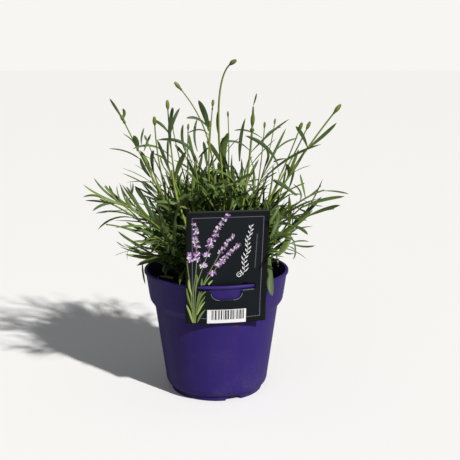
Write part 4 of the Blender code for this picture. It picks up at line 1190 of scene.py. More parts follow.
# (tip, middle of the midrib, foot in millimetres, half width in millimetres, tone, youth)
LONG_LEAVES = (
    ((-76, -18, 250), (-73, -15, 243), (-73, -14, 235), 2.2, 0.10, 0.00),
    ((-87, -8, 251), (-77, -11, 244), (-73, -14, 235), 1.1, 0.50, 0.20),
    ((-67, -6, 256), (-69, -11, 248), (-69, -14, 241), 1, 0.35, 0.10),
    ((-61, -3, 250), (-64, -10, 243), (-67, -13, 235), 1.1, 0.35, 0.10),
    ((-99, -19, 238), (-83, -15, 235), (-69, -13, 226), 1.3, 0.25, 0.00),
    ((-70, -17, 229), (-67, -13, 219), (-61, -12, 210), 2, 0.05, 0.00),
    ((-70, -17, 236), (-63, -13, 222), (-59, -11, 205), 1.7, 0.75, 0.60),
    ((-76, -30, 239), (-57, -23, 241), (-40, -20, 229), 1.35, 0.45, 0.10),
    ((-58, -14, 236), (-60, -7, 226), (-59, -4, 214), 1.9, 0.30, 0.00),
    ((-58, -14, 233), (-48, -18, 229), (-40, -20, 223), 1.2, 0.60, 0.40),
    ((-57, -25, 265), (-49, -22, 260), (-42, -20, 251), 1.4, 0.25, 0.00),
    ((-38, -25, 276), (-42, -22, 257), (-41, -20, 237), 1.7, 0.05, 0.00),
    ((-33, -14, 275), (-39, -18, 263), (-42, -20, 250), 1.5, 0.10, 0.00),
    ((-33, 46, 254), (-34, 44, 240), (-30, 42, 225), 1.5, 0.15, 0.00),
    ((-26, -40, 268), (-15, -36, 267), (-5, -34, 257), 1.5, 0.15, 0.05),
    ((-15, -40, 284), (-9, -36, 270), (-6, -34, 256), 2.5, 0.02, 0.00),
    ((-18, 23, 262), (-21, 18, 247), (-18, 15, 231), 1.2, 0.20, 0.10),
    ((-26, -26, 253), (-14, -31, 257), (-6, -34, 252), 1, 0.25, 0.10),
    ((-56, 6, 243), (-31, 12, 239), (-17, 16, 218), 1.6, 0.10, 0.00),
    ((-27, -34, 237), (-34, -25, 223), (-38, -20, 208), 2.3, 0.85, 0.10),
    ((-41, 36, 235), (-35, 39, 228), (-30, 42, 221), 1.8, 0.30, 0.00),
    ((-7, 7, 236), (-12, 12, 231), (-17, 15, 225), 1.5, 0.05, 0.00),
    ((-13, 38, 238), (-11, 41, 226), (-10, 42, 213), 1.8, 0.75, 0.00),
    ((-37, 1, 211), (-35, 12, 199), (-34, 19, 186), 2.2, 0.85, 0.85),
    ((-69, -17, 207), (-62, -13, 201), (-54, -11, 194), 1.9, 0.10, 0.00),
    ((-79, 17, 197), (-72, 13, 189), (-66, 11, 181), 1.6, 0.12, 0.00),
    ((-10, 41, 238), (-1, 46, 226), (5, 49, 212), 2.5, 0.02, 0.00),
    ((12, 7, 250), (8, 11, 237), (9, 13, 223), 2.6, 0.70, 0.05),
    ((27, -38, 268), (23, -34, 248), (22, -32, 228), 1.9, 0.08, 0.00),
    ((2, 7, 271), (1, 9, 258), (3, 10, 245), 1, 0.20, 0.30),
    ((27, -37, 252), (46, -31, 241), (58, -27, 223), 1.8, 0.05, 0.00),
    ((17, 36, 249), (31, 32, 249), (46, 30, 241), 1, 0.30, 0.10),
    ((6, -37, 246), (20, -34, 246), (32, -33, 237), 1.3, 0.10, 0.00),
    ((42, 38, 239), (51, 41, 227), (48, 44, 212), 1.6, 0.35, 0.10),
    ((67, -27, 266), (48, -31, 252), (31, -33, 235), 1, 0.25, 0.00),
    ((64, 39, 252), (51, 33, 247), (45, 29, 236), 0.8, 0.35, 0.00),
    ((68, 36, 251), (57, 38, 227), (45, 40, 202), 1.4, 0.60, 0.30),
    ((81, 56, 239), (68, 52, 235), (58, 50, 226), 0.9, 0.40, 0.10),
    ((74, -13, 258), (81, -9, 249), (86, -7, 237), 2, 0.05, 0.00),
    ((112, -11, 261), (99, -8, 248), (85, -7, 236), 1.9, 0.55, 0.00),
    ((94, -51, 246), (66, -46, 233), (40, -43, 210), 1.4, 0.10, 0.00),
    ((84, -10, 237), (75, -6, 220), (65, -5, 204), 1.7, 0.60, 0.55),
    ((65, -11, 223), (69, -7, 215), (67, -5, 206), 1.8, 0.05, 0.00),
    ((53, -24, 226), (58, -27, 229), (66, -28, 230), 0.9, 0.50, 0.00),
    ((53, -33, 212), (65, -23, 203), (76, -17, 194), 2.8, 0.60, 0.00),
    ((-9, -71, 227), (8, -57, 221), (19, -49, 209), 1, 0.95, 0.00),
    ((11, -61, 211), (25, -48, 210), (39, -41, 206), 1.3, 0.90, 0.00),
    ((78, 0, 235), (72, -3, 220), (66, -5, 205), 1.5, 0.50, 0.40),
    ((-123, -22, 205), (-108, -18, 194), (-87, -16, 185), 1.3, 0.75, 0.45),
    ((-129, 12, 187), (-115, 8, 189), (-103, 6, 182), 1.1, 0.60, 0.30),
    ((-115, -8, 209), (-103, -13, 196), (-87, -16, 185), 1.3, 0.45, 0.20),
    ((-104, -12, 203), (-98, -14, 195), (-92, -16, 188), 1.3, 0.55, 0.30),
    ((-104, 16, 198), (-100, 9, 191), (-96, 6, 185), 1.2, 0.30, 0.10),
    ((-115, -23, 180), (-103, -18, 186), (-87, -15, 185), 1.3, 0.20, 0.10),
    ((-115, -4, 174), (-97, 2, 175), (-78, 6, 168), 1.4, 0.40, 0.20),
    ((-94, -4, 201), (-92, -11, 193), (-87, -16, 185), 0.8, 0.60, 0.10),
    ((-91, -1, 201), (-87, -10, 192), (-83, -15, 183), 0.8, 0.60, 0.10),
    ((-103, -20, 190), (-91, -16, 186), (-78, -14, 180), 1.5, 0.75, 0.50),
    ((-78, -71, 203), (-74, -75, 194), (-67, -77, 188), 1.4, 0.70, 0.40),
    ((-76, -17, 184), (-66, -13, 173), (-56, -11, 162), 1.6, 0.80, 0.50),
    ((-91, 2, 161), (-78, 4, 156), (-63, 6, 155), 1.4, 0.05, 0.00),
    ((-60, -75, 162), (-56, -72, 163), (-52, -71, 164), 1.4, 0.05, 0.00),
    ((-53, -22, 185), (-42, -13, 173), (-35, -8, 158), 2.4, 0.80, 0.20),
    ((-50, -33, 177), (-45, -24, 170), (-42, -19, 161), 1.8, 0.50, 0.10),
    ((-46, -61, 173), (-43, -51, 165), (-39, -47, 156), 1.6, 0.70, 0.10),
    ((-88, -11, 146), (-64, -5, 134), (-35, -3, 130), 1.6, 0.80, 0.75),
    ((-93, -5, 142), (-65, -3, 133), (-35, -3, 130), 1.3, 0.55, 0.60),
    ((-87, -9, 135), (-63, 1, 129), (-38, 5, 126), 1.7, 0.85, 0.80),
    ((-76, -13, 125), (-59, -1, 128), (-40, 5, 128), 1.8, 0.80, 0.75),
    ((-57, -25, 148), (-59, -26, 144), (-62, -27, 140), 1.2, 0.10, 0.00),
    ((-60, -3, 158), (-52, 3, 141), (-40, 5, 128), 1.9, 0.60, 0.30),
    ((-88, 21, 196), (-82, 15, 189), (-76, 13, 181), 1, 0.20, 0.00),
    ((-79, 15, 196), (-73, 12, 188), (-67, 11, 180), 1.5, 0.10, 0.00),
    ((-82, 25, 199), (-82, 19, 191), (-86, 15, 182), 0.8, 0.50, 0.00),
    ((-41, -27, 179), (-36, -21, 166), (-34, -17, 151), 2, 0.35, 0.10),
    ((78, -22, 215), (81, -20, 204), (84, -18, 191), 1.3, 0.75, 0.40),
    ((99, -14, 203), (91, -17, 196), (84, -18, 191), 1.1, 0.55, 0.20),
    ((119, -29, 195), (98, -26, 191), (78, -25, 183), 1.9, 0.40, 0.10),
    ((101, -14, 183), (92, -16, 185), (81, -18, 190), 0.8, 0.40, 0.00),
    ((89, -19, 180), (83, -17, 179), (74, -16, 184), 1.2, 0.05, 0.00),
    ((84, 3, 168), (78, 5, 170), (72, 6, 168), 1.3, 0.10, 0.00),
    ((88, -3, 153), (80, 2, 159), (71, 5, 159), 1.8, 0.25, 0.00),
    ((83, -76, 163), (74, -73, 163), (66, -72, 160), 0.9, 0.45, 0.10),
    ((88, -79, 160), (77, -73, 158), (66, -71, 161), 0.9, 0.45, 0.10),
    ((69, -78, 147), (71, -74, 157), (66, -72, 169), 0.8, 0.45, 0.10),
    ((75, -16, 138), (69, -13, 137), (64, -12, 139), 1.4, 0.05, 0.00),
    ((57, -9, 133), (68, 0, 145), (70, 5, 159), 3.3, 0.75, 0.15),
    ((69, -7, 193), (71, 1, 176), (70, 5, 159), 2.9, 0.70, 0.15),
    ((60, -1, 121), (59, 1, 127), (58, 3, 134), 0.9, 0.70, 0.50),
    ((72, -19, 205), (79, -23, 197), (77, -25, 188), 0.8, 0.50, 0.00),
    ((52, -33, 211), (64, -27, 204), (74, -23, 195), 2, 0.25, 0.00),
    ((57, -7, 169), (58, -1, 154), (52, 3, 141), 1.6, 0.55, 0.20),
    ((37, -36, 290), (36, -36, 285), (34, -36, 279), 0.8, 0.05, 0.00),
    ((-97, -18, 284), (-91, -16, 274), (-85, -16, 264), 1.2, 0.08, 0.10),
    ((-85, -19, 275), (-84, -17, 270), (-86, -16, 265), 1.5, 0.50, 0.60),
    ((-39, -28, 277), (-41, -23, 268), (-43, -20, 259), 1.3, 0.15, 0.00),
    ((52, -58, 108), (50, -51, 122), (50, -36, 138), 3.5, 0.30, 0.10),
    ((-69, -4, 104), (-71, -5, 117), (-71, -5, 127), 0.9, 0.45, 0.20),
    ((-40, -37, 118), (-43, -37, 120), (-52, -37, 121), 1.4, 0.90, 0.00),
)


def arched_lines(rows):
    """Midribs through each leaf's foot, middle and tip: the quadratic that passes the middle halfway."""
    tips, middles, roots = (np.array([row[k] for row in rows], float)[:, None] / 1000 for k in range(3))
    t = np.linspace(0, 1, LONG_LEAF_ROWS)[None, :, None]
    return (1 - t) * (1 - 2 * t) * roots + 4 * t * (1 - t) * middles + t * (2 * t - 1) * tips


long_lines = arched_lines(LONG_LEAVES)
draw = np.random.RandomState(500)
long_values = np.array([row[3:] for row in LONG_LEAVES], float)
long_along = long_lines[:, -1] - long_lines[:, 0]
long_lengths = np.linalg.norm(long_along, axis=1, keepdims=True)
long_ups = np.array([0.15, -0.75, 0.65]) - 0.5 * long_along / long_lengths
long_twists = draw.uniform(-0.9, 0.9, len(LONG_LEAVES))
long_shape = blade_shapes(long_lines, long_ups, long_values[:, 0] / 1000, long_twists, long_values[:, 1], 0.0)
long_shape[2][:, 3] = np.repeat(long_values[:, 2], LONG_LEAF_ROWS * len(LEAF_RING))
long_leaves = add_growth("long_leaves_green", [long_shape])

# The shaded inner leaves that fill the middle of the plant, from short shoots hidden among the rest.
INNER_LEAVES = 1050


def inner_lines(count, draw):
    """Midribs of inner leaves: a foot spread through a low dome, a rise that leans away from the axis, and
    a sag by the square of the share of the length. Those that would touch card or pot are left out."""
    turn = draw.uniform(0, 2 * math.pi, count)
    out = np.sqrt(draw.uniform(0, 1, count))
    lift = draw.uniform(0, 1, count)
    foot = np.column_stack([0.057 * out * np.cos(turn) - 0.001, 0.036 * out * np.sin(turn) + 0.002,
                            0.116 + 0.070 * lift * (1 - 0.28 * out**2)])
    length = draw.uniform(0.022, 0.042, count)[:, None]
    lean = foot * [1, 1, 0] / 0.05 + draw.normal(0, 0.45, (count, 3)) * [1, 1, 0.3] + [0, 0, 1.0]
    lean /= np.linalg.norm(lean, axis=1, keepdims=True)
    sag = draw.normal(0, 0.28, (count, 3)) - [0, 0, 0.16]
    t = np.linspace(0, 1, LEAF_ROWS)[None, :, None]
    lines = foot[:, None] + length[:, None] * (lean[:, None] * t + sag[:, None] * t**2)
    return np.array([line for line in lines if in_free_air(line) and not is_shed(line, draw)])


draw = np.random.RandomState(520)
inner_rows = inner_lines(INNER_LEAVES, draw)
count = len(inner_rows)
ups = np.array([0.1, -0.8, 0.6]) + draw.normal(0, 0.4, (count, 3))
widths, twists = draw.uniform(0.0010, 0.0019, count), draw.uniform(-1.0, 1.0, count)
inner_shape = blade_shapes(inner_rows, ups, widths, twists, draw.uniform(0, 0.35, count), 0.04)
inner_leaves = add_growth("inner_leaves_green", [inner_shape])

# Young stems that show at the front and at both sides: (points in millimetres, radius, tone, youth).
YOUNG_STEMS = (
    (((-39.4, -42.0, 221.6), (-37.3, -47.0, 208.7), (-34.6, -50.0, 196.4), (-31.0, -52.0, 186.7),
      (-26.9, -53.0, 174.4), (-24.1, -50.0, 158.5)), 0.95, 0.9, 1.0),
    (((-99.6, 0.0, 185.8), (-89.4, 0.0, 181.7), (-82.9, 0.0, 176.8), (-77.0, -1.0, 170.3),
      (-69.8, -2.0, 163.7), (-62.5, -3.0, 154.2), (-58.1, -4.0, 145.4), (-50.0, -6.0, 137.7),
      (-40.6, -8.0, 131.2)), 0.8, 0.5, 0.8),
    (((82.8, -15.0, 184.3), (70.4, -16.0, 173.0), (64.7, -16.0, 161.8), (55.4, -16.0, 151.4),
      (52.1, -16.0, 143.0)), 0.8, 0.5, 0.7),
)


def smooth_line(corners, count):
    """A rounded line through the corners: straight between them, then evened out by a short running mean."""
    corners = np.asarray(corners, float) / 1000
    s = np.linspace(0, len(corners) - 1, count)
    line = np.stack([np.interp(s, np.arange(len(corners)), corners[:, axis]) for axis in range(3)], axis=1)
    for _ in range(6):
        line[1:-1] = (line[:-2] + 2 * line[1:-1] + line[2:]) / 4
    return line


young_shapes = []
for corners, radius, tone, young in YOUNG_STEMS:
    radii = np.linspace(radius * 0.8, radius, 30) / 1000
    points, faces = tube_shape(smooth_line(corners, 30), radii, 8, square_section)
    young_shapes.append((points, faces, np.tile([0.5, 0.0, tone, young], (len(points), 1))))
young_stems = add_growth("young_stems_green", young_shapes)

# ---- Fallen leaves ---------------------------------------------------------------------------
# Dead leaves that have dropped on the compost and dried to the colour of straw.


def straw():
    """A dry leaf: pale straw mottled with brown."""
    material, tree, shader = new_material("dry_straw")
    grain = use_group(tree, GRAIN, Coarse_Scale=200.0, Fine_Scale=1800.0, Fine_Share=0.6)
    pale = stepped(tree, grain["Height"], 0.5, 1.0)
    colour = mixed(tree, pale, (0.070, 0.055, 0.025, 1), (0.200, 0.180, 0.095, 1))
    link(tree, colour, shader.inputs["Base Color"])
    shader.inputs["Roughness"].default_value = 0.8
    bump(tree, shader, grain["Height"], 0.0003, 0.7)
    return material


STRAW = straw()
# (middle, direction, length)
FALLEN_LEAVES = (((-0.043, -0.028), 2.3, 0.026), ((0.048, -0.014), 1.9, 0.020))
FALLEN_HALF_WIDTH = 0.0019
FALLEN_ARCH = 0.0012


def lying_leaf(x, y, turn, length):
    """A midrib that lies on the compost and arches by a parabola over its middle."""
    s = np.linspace(-0.5, 0.5, LEAF_ROWS)
    along_x, along_y = x + s * length * math.cos(turn), y + s * length * math.sin(turn)
    height = compost_top(np.hypot(along_x, along_y)) + 0.0008 + FALLEN_ARCH * (0.25 - s * s) * 4
    return np.stack([along_x, along_y, height], axis=-1)


for index, ((x, y), turn, length) in enumerate(FALLEN_LEAVES):
    line = lying_leaf(x, y, turn, length)
    points, faces, growth = blade_shapes([line], [(0, 0, 1)], [FALLEN_HALF_WIDTH], [0.3], [0.5], 0.0)
    leaf = add_piece(f"fallen_leaf_{index + 1}_dry", points, faces, [STRAW], 55, growth=growth)
    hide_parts(f"fallen_leaf_{index + 1}")

# ---- Card ------------------------------------------------------------------------------------
# A label die-cut from printed plastic card. The pot's lip stands through its slot, its lower part
# bows over the collar, and the tongue cut from the slot hangs inside the pot.

LABEL_THICKNESS = 0.0006
SLOT_HALF_LENGTH = 0.0266
SLOT_HEIGHT = 0.0046
NOTCH_HALF_WIDTH = 0.0139
NOTCH_DEPTH = 0.0136
NOTCH_CORNER = 0.0070
TONGUE_KERF = 0.0005
LOWER_BOW = 0.0050
LOWER_FLATNESS = 0.70
BOW_EASE = 0.0006
TONGUE_BOW = 0.0010
BORDER_WIDTH = 0.0054
UPPER_ROWS, LOWER_ROWS, SLOT_ROWS, TONGUE_ROWS = 26, 22, 3, 10
SIDE_COLUMNS, SLOT_COLUMNS, MIDDLE_COLUMNS = 7, 8, 4


def card_points(across, up, on_tongue=False, proud=0.0):
    """The card's surface. `across` from its middle and `up` from its slot lie on a plane that leans out;
    below the slot a softened parabola carries it forward over the collar, and the tongue bends back."""
    across, up = np.broadcast_arrays(np.asarray(across, float), np.asarray(up, float))
    flatter = 1 - LOWER_FLATNESS * np.clip(-up / LABEL_BELOW_SLOT, 0, 1)
    ahead = LOWER_BOW - flatter * across**2 / (2 * COLLAR_BOTTOM[0])
    forward = BOW_EASE * np.log1p(np.exp(ahead / BOW_EASE))
    share = 0.5 + 0.5 * np.cos(math.pi * np.minimum(1, np.abs(across) / SLOT_HALF_LENGTH))
    back = -TONGUE_BOW * share * np.exp(-np.maximum(0, up) / 0.02)
    bow = back if on_tongue else np.where(up < -1e-9, forward, back)
    reach = LABEL_REACH + up * math.sin(LABEL_LEAN) + bow + proud
    height = POT_HEIGHT + 0.0004 + up * math.cos(LABEL_LEAN)
    x = across * math.cos(LABEL_TURN) + reach * math.sin(LABEL_TURN)
    y = across * math.sin(LABEL_TURN) - reach * math.cos(LABEL_TURN)
    return np.stack([x, y, height], axis=-1)


def notch_outline(half_width, depth):
    """Columns of the D: places across, and how far down it reaches at each."""
    turns = np.radians(np.linspace(3, 88, 9))
    across = half_width - NOTCH_CORNER + NOTCH_CORNER * np.cos(turns)
    down = -depth + NOTCH_CORNER - NOTCH_CORNER * np.sin(turns)
    return np.column_stack([across, down])


def card_patches():
    """The card's front as ruled patches between an upper and a lower edge, sharing their corner points."""
    side = np.linspace(SLOT_HALF_LENGTH, LABEL_HALF_WIDTH, SIDE_COLUMNS)
    slot = np.linspace(NOTCH_HALF_WIDTH, SLOT_HALF_LENGTH, SLOT_COLUMNS)
    notch = notch_outline(NOTCH_HALF_WIDTH, NOTCH_DEPTH)
    middle = np.linspace(notch[-1, 0], 0, MIDDLE_COLUMNS + 1)[1:]
    half = np.concatenate([side[::-1], slot[::-1][1:], notch[:, 0], middle])
    outside_notch = np.full(SIDE_COLUMNS + SLOT_COLUMNS - 1, -SLOT_HEIGHT)
    half_top = np.concatenate([outside_notch, notch[:, 1], np.full(MIDDLE_COLUMNS, -NOTCH_DEPTH)])
    across = np.concatenate([-half, half[::-1][1:]])
    top = np.concatenate([half_top, half_top[::-1][1:]])
    tongue_notch = notch_outline(NOTCH_HALF_WIDTH - TONGUE_KERF, NOTCH_DEPTH - TONGUE_KERF)
    tongue_half = np.concatenate([tongue_notch[:, 0], middle * 0.98])
    tongue_low = np.concatenate([tongue_notch[:, 1], np.full(MIDDLE_COLUMNS, -NOTCH_DEPTH + TONGUE_KERF)])
    upper_half = np.concatenate([side[::-1], slot[::-1][1:-1], tongue_half])
    upper_across = np.concatenate([-upper_half, upper_half[::-1][1:]])
    tongue_across = np.concatenate([-tongue_half, tongue_half[::-1][1:]])
    tongue_lows = np.concatenate([tongue_low, tongue_low[::-1][1:]])
    low = -LABEL_BELOW_SLOT

    def ruled(columns, rows, height_at, on_tongue=False):
        """A patch over the columns, with its height given by the share of the way up."""
        share = np.linspace(0, 1, rows)[:, None]
        return np.broadcast_to(columns, (rows, len(columns))), height_at(share) + 0 * columns, on_tongue

    patches = [
        ruled(upper_across, UPPER_ROWS, lambda share: share * LABEL_ABOVE_SLOT),
        ruled(across, LOWER_ROWS, lambda share: low + share * (top - low)),
    ]
    for columns in (-side[::-1], side):
        patches.append(ruled(columns, SLOT_ROWS, lambda share: -SLOT_HEIGHT * (1 - share)))
    patches.append(ruled(tongue_across, TONGUE_ROWS, lambda share: tongue_lows * (1 - share), True))
    return patches


def printed_card():
    """The card's finish: near-black slate ink, darker in the border, with a soft gloss. Its colour is also a
    little lighter towards the top. The print_place attribute gives the border and the share of the height."""
    material, tree, shader = new_material("slate_card")
    layer = tree.nodes.new("ShaderNodeAttribute")
    layer.attribute_name = "print_place"
    parts = add_node(tree, "ShaderNodeSeparateColor", Color=layer.outputs["Color"]).outputs
    grain = use_group(tree, GRAIN, Coarse_Scale=60.0, Fine_Scale=2600.0, Fine_Share=0.3)
    slate = mixed(tree, parts[1], (0.006, 0.009, 0.012, 1), (0.009, 0.0125, 0.0145, 1))
    colour = mixed(tree, parts[0], slate, (0.0055, 0.0080, 0.0065, 1))
    link(tree, colour, shader.inputs["Base Color"])
    link(tree, maths(tree, "MULTIPLY_ADD", grain["Coarse"], 0.12, 0.34), shader.inputs["Roughness"])
    shader.inputs["Specular IOR Level"].default_value = 0.14
    bump(tree, shader, grain["Height"], 0.00005, 0.4)
    return material


card_shapes, card_print = [], []
for across, up, on_tongue in card_patches():
    front = card_points(across, up, on_tongue, LABEL_THICKNESS / 2).reshape(-1, 3)
    card_shapes.append((front, grid_faces(*across.shape)))
    from_ends = np.minimum(LABEL_ABOVE_SLOT - up, up + LABEL_BELOW_SLOT)
    border = np.clip((BORDER_WIDTH - np.minimum(LABEL_HALF_WIDTH - np.abs(across), from_ends)) / 0.0008, 0, 1)
    raised = np.clip((up + 0.03) / 0.1, 0, 1)
    card_print.append(np.stack([border, raised, 0 * up, 0 * up], axis=-1).reshape(-1, 4))
points, faces = stacked(card_shapes)
card = add_piece("card_label", points, faces, [printed_card()], 40, print_place=np.concatenate(card_print))


joined(card, 2e-5, sheet=True)
thickness = card.modifiers.new("card_thickness", "SOLIDIFY")
thickness.thickness = LABEL_THICKNESS
thickness.offset = -1.0
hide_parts("label_card")

# The printing is ink on the card's face: a frame, a bunch of lavender, a white sprig and a stock code
# without digits. Each layer stands one step above the last. Places are (across, up) in millimetres.
INK_LIFT = 0.00004
INK_STEP = 0.00002
FRAME_LINES = (
    ((-31.9, 65.4), (-31.2, 18.0), (-30.6, -27.8)),
    ((-31.9, 65.6), (32.0, 65.7)),
    ((31.8, 65.7), (31.6, 17.0), (31.3, -31.7)),
    ((31.3, -31.7), (18.9, -31.9)),
    ((-17.8, -32.1), (-23.6, -31.8)),
)
PRINTED_STEMS = (
    ((-28.1, 38.4), (-27.4, 22.1), (-28.4, 8.4), (-29.7, -4.7), (-29.8, -36.2)),
    ((-12.3, 47.8), (-16.8, 34.0), (-21.3, 19.4), (-25.1, 7.5), (-27.8, -4.8), (-29.2, -36.2)),
    ((-6.6, 31.3), (-13.2, 18.4), (-20.2, 3.9), (-25.6, -10.4), (-28.5, -36.3)),
    ((-8.7, 18.4), (-14.6, 9.8), (-20.9, -1.3), (-26.4, -16.0), (-28.1, -36.3)),
    ((-36.0, 24.8), (-34.6, 12.8), (-32.8, 0.0), (-31.3, -18.6), (-30.2, -36.2)),
)
PRINTED_LEAVES = (
    ((-34.5, 6.8), (-33.6, -0.9), (-31.0, -10.3)),
    ((-28.1, 12.7), (-26.8, 6.7), (-28.6, -4.8)),
    ((-22.3, 7.4), (-22.8, 1.2), (-24.1, -4.9)),
    ((-12.8, 5.1), (-15.6, 1.9), (-19.2, -2.3)),
    ((-15.4, 9.0), (-18.8, 4.4), (-21.7, -1.3)),
    ((-36.4, -1.8), (-34.3, -12.0), (-31.2, -23.2)),
    ((-36.2, -18.4), (-33.2, -25.9), (-30.6, -36.2)),
    ((-17.5, -3.7), (-23.2, -9.6), (-27.1, -21.5)),
    ((-19.5, -9.7), (-24.2, -18.0), (-27.4, -28.0)),
    ((-19.8, -15.3), (-23.8, -21.5), (-27.0, -28.9)),
    ((-19.2, -22.7), (-23.6, -29.0), (-26.4, -35.9)),
)
# Flower spikes, as whorl centres from the top down, and the larger whorls that stand below them.
PRINTED_SPIKES = (
    ((-29.9, 59.9), (-28.8, 55.6), (-28.5, 51.3), (-28.7, 47.0), (-28.2, 42.7), (-27.7, 38.9)),
    ((-0.9, 67.7), (-3.6, 63.3), (-6.3, 59.9), (-8.5, 56.4), (-10.4, 52.9), (-11.5, 49.1)),
    ((4.1, 47.7), (1.4, 44.2), (-1.3, 39.9), (-4.0, 36.5), (-6.3, 33.0)),
    ((9.6, 38.9), (6.9, 36.4), (4.2, 33.8), (1.4, 31.2), (-1.3, 27.8)),
)
PRINTED_CLUSTERS = (
    (-26.8, 31.6), (-27.5, 26.4), (-14.6, 44.3), (-16.1, 39.2), (-18.3, 30.6), (-21.7, 20.3),
    (-4.8, 23.9), (-7.6, 20.5), (-13.4, 12.4), (-34.6, 30.8), (-34.4, 26.5),
)
# A white sprig stands between these places, with so many leaves.
SPRIG_ENDS = ((14.6, 9.0), (20.4, 57.5))
SPRIG_LEAVES = 22
STOCK_PANEL = ((-17.5, -36.9), (18.2, -23.4))
STOCK_BARS = ((-13.4, -33.5), (16.5, -23.9))
SMALL_ORNAMENT = ((26.4, 49.3), (25.5, 16.0))
PETAL_INKS = np.array([
    (0.080, 0.022, 0.105), (0.160, 0.055, 0.210), (0.285, 0.135, 0.360), (0.480, 0.330, 0.560),
    (0.780, 0.680, 0.820),
])
LILAC_INK = (0.200, 0.150, 0.270)
STEM_INK = (0.210, 0.280, 0.080)
LEAF_INKS = np.array([(0.080, 0.130, 0.035), (0.220, 0.300, 0.070), (0.460, 0.540, 0.170)])
WHITE_INK = (0.90, 0.90, 0.90)
CUT_EDGE = (0.30, 0.31, 0.33)
BAR_INK = (0.012, 0.012, 0.016)


def rounded_path(corners, count):
    """A smooth path through corners: everywhere a cubic blend of the four nearest (Catmull-Rom)."""
    corners = np.asarray(corners, float)
    padded = np.concatenate([2 * corners[:1] - corners[1:2], corners, 2 * corners[-1:] - corners[-2:-1]])
    s = np.linspace(0, len(corners) - 1 - 1e-9, count)
    i = s.astype(int)
    t = (s - i)[:, None]
    before, here, after, later = (padded[i + k] for k in range(4))
    return 0.5 * (2 * here + (after - before) * t + (2 * before - 5 * here + 4 * after - later) * t**2
                  + (3 * here - before - 3 * after + later) * t**3)


def upright(across, low, high, count):
    """A straight path up the card."""
    return np.column_stack([np.full(count, across), np.linspace(low, high, count)])


def ink_strip(path, half_widths, ink, layer):
    """A strip along a path on the card: the path plus and minus its half width square to it."""
    along = np.gradient(path, axis=0)
    along /= np.linalg.norm(along, axis=1, keepdims=True)
    left = np.stack([-along[:, 1], along[:, 0]], axis=-1) * np.broadcast_to(half_widths, len(path))[:, None]
    places = np.stack([path - left, path + left], axis=1).reshape(-1, 2)
    quads = grid_faces(len(path), 2)
    return places, quads[:, ::-1], np.tile((*ink, 1.0), (len(places), 1)), np.broadcast_to(layer, len(places))


def ink_petals(centres, angles, lengths, widths, inks, layer):
    """Petals: for each, six points round a narrow oval turned to its angle."""
    turns = np.arange(6) * math.pi / 3
    x = np.cos(turns)[None] * lengths[:, None] / 2
    y = np.sin(turns)[None] * widths[:, None] / 2
    c, s = np.cos(angles)[:, None], np.sin(angles)[:, None]
    places = np.stack([x * c - y * s, x * s + y * c], axis=-1) + centres[:, None]
    faces = np.arange(len(centres) * 6).reshape(-1, 6)
    colours = np.concatenate([np.repeat(inks, 6, axis=0), np.ones((len(centres) * 6, 1))], axis=1)
    layers = np.repeat(layer + np.arange(len(centres)) * 0.02, 6)
    return places.reshape(-1, 2), faces, colours, layers


def flower_marks(centre, reach_across, reach_up, count, draw, layer):
    """A printed whorl: petals fanned out from its centre, the darkest lowest, and a few green calyx dots."""
    angles = draw.uniform(0, 2 * math.pi, count)
    out = np.sqrt(draw.uniform(0.02, 1.0, count))
    fan = np.column_stack([np.cos(angles) * reach_across, np.sin(angles) * reach_up])
    centres = np.asarray(centre) + fan * out[:, None] * 0.8
    shade = np.sort(draw.uniform(0, 1, count))
    inks = PETAL_INKS[np.minimum(4, (shade**1.3 * 5).astype(int))]
    petals = ink_petals(centres, angles + draw.uniform(-0.5, 0.5, count), draw.uniform(1.8, 3.2, count),
                        draw.uniform(0.9, 1.5, count), inks, layer)
    dots = np.asarray(centre) + draw.uniform(-1, 1, (4, 2)) * [reach_across * 0.4, reach_up * 0.5]
    calyx = np.tile(LEAF_INKS[1], (4, 1))
    green = ink_petals(dots, draw.uniform(0, 3, 4), np.full(4, 1.5), np.full(4, 0.9), calyx, layer + 0.3)
    return [petals, green]


def sprig_marks():
    """The white sprig: a thin stem with slanted leaves in turn on its two sides, each a narrow lens, long
    at the foot and shorter above, and a spiral tendril at its foot whose radius shrinks with its angle."""
    start, end = (np.array(place) for place in SPRIG_ENDS)
    way = (end - start) / np.linalg.norm(end - start)
    aside = np.array([way[1], -way[0]])
    t = np.linspace(0, 1, 90)[:, None]
    stem = start + (end - start) * t + aside * 0.7 * np.sin(5 * math.pi * t)
    marks = [ink_strip(stem, 0.14, WHITE_INK, 3)]
    s = np.linspace(0, 1, 14)[:, None]
    lens = 0.10 + 0.40 * np.sin(s[:, 0] * math.pi) ** 1.3
    for index in range(SPRIG_LEAVES):
        at = (index + 0.5) / SPRIG_LEAVES
        side = 1.0 if index % 2 else -1.0
        root = start + (end - start) * at + aside * 0.7 * math.sin(5 * math.pi * at)
        length = (5.4 - 2.0 * at) * (1.0 + 0.18 * math.sin(2.3 * index))
        line = root + length * (s * (0.60 * way + 0.80 * side * aside) + 0.22 * s**2 * (way - side * aside))
        marks.append(ink_strip(line, lens, WHITE_INK, 3.1 + 0.02 * index))
    turn = np.linspace(0, 3.3 * math.pi, 60)
    shrink = 3.6 * np.exp(-turn / 7.0)
    curl = start + [-3.0, 0.6] + np.column_stack([np.cos(turn), np.sin(turn)]) * shrink[:, None]
    swelling = 0.10 + 0.28 * np.sin(np.linspace(0, math.pi, 60)) ** 2
    marks.append(ink_strip(curl[::-1], swelling, WHITE_INK, 3.6))
    return marks


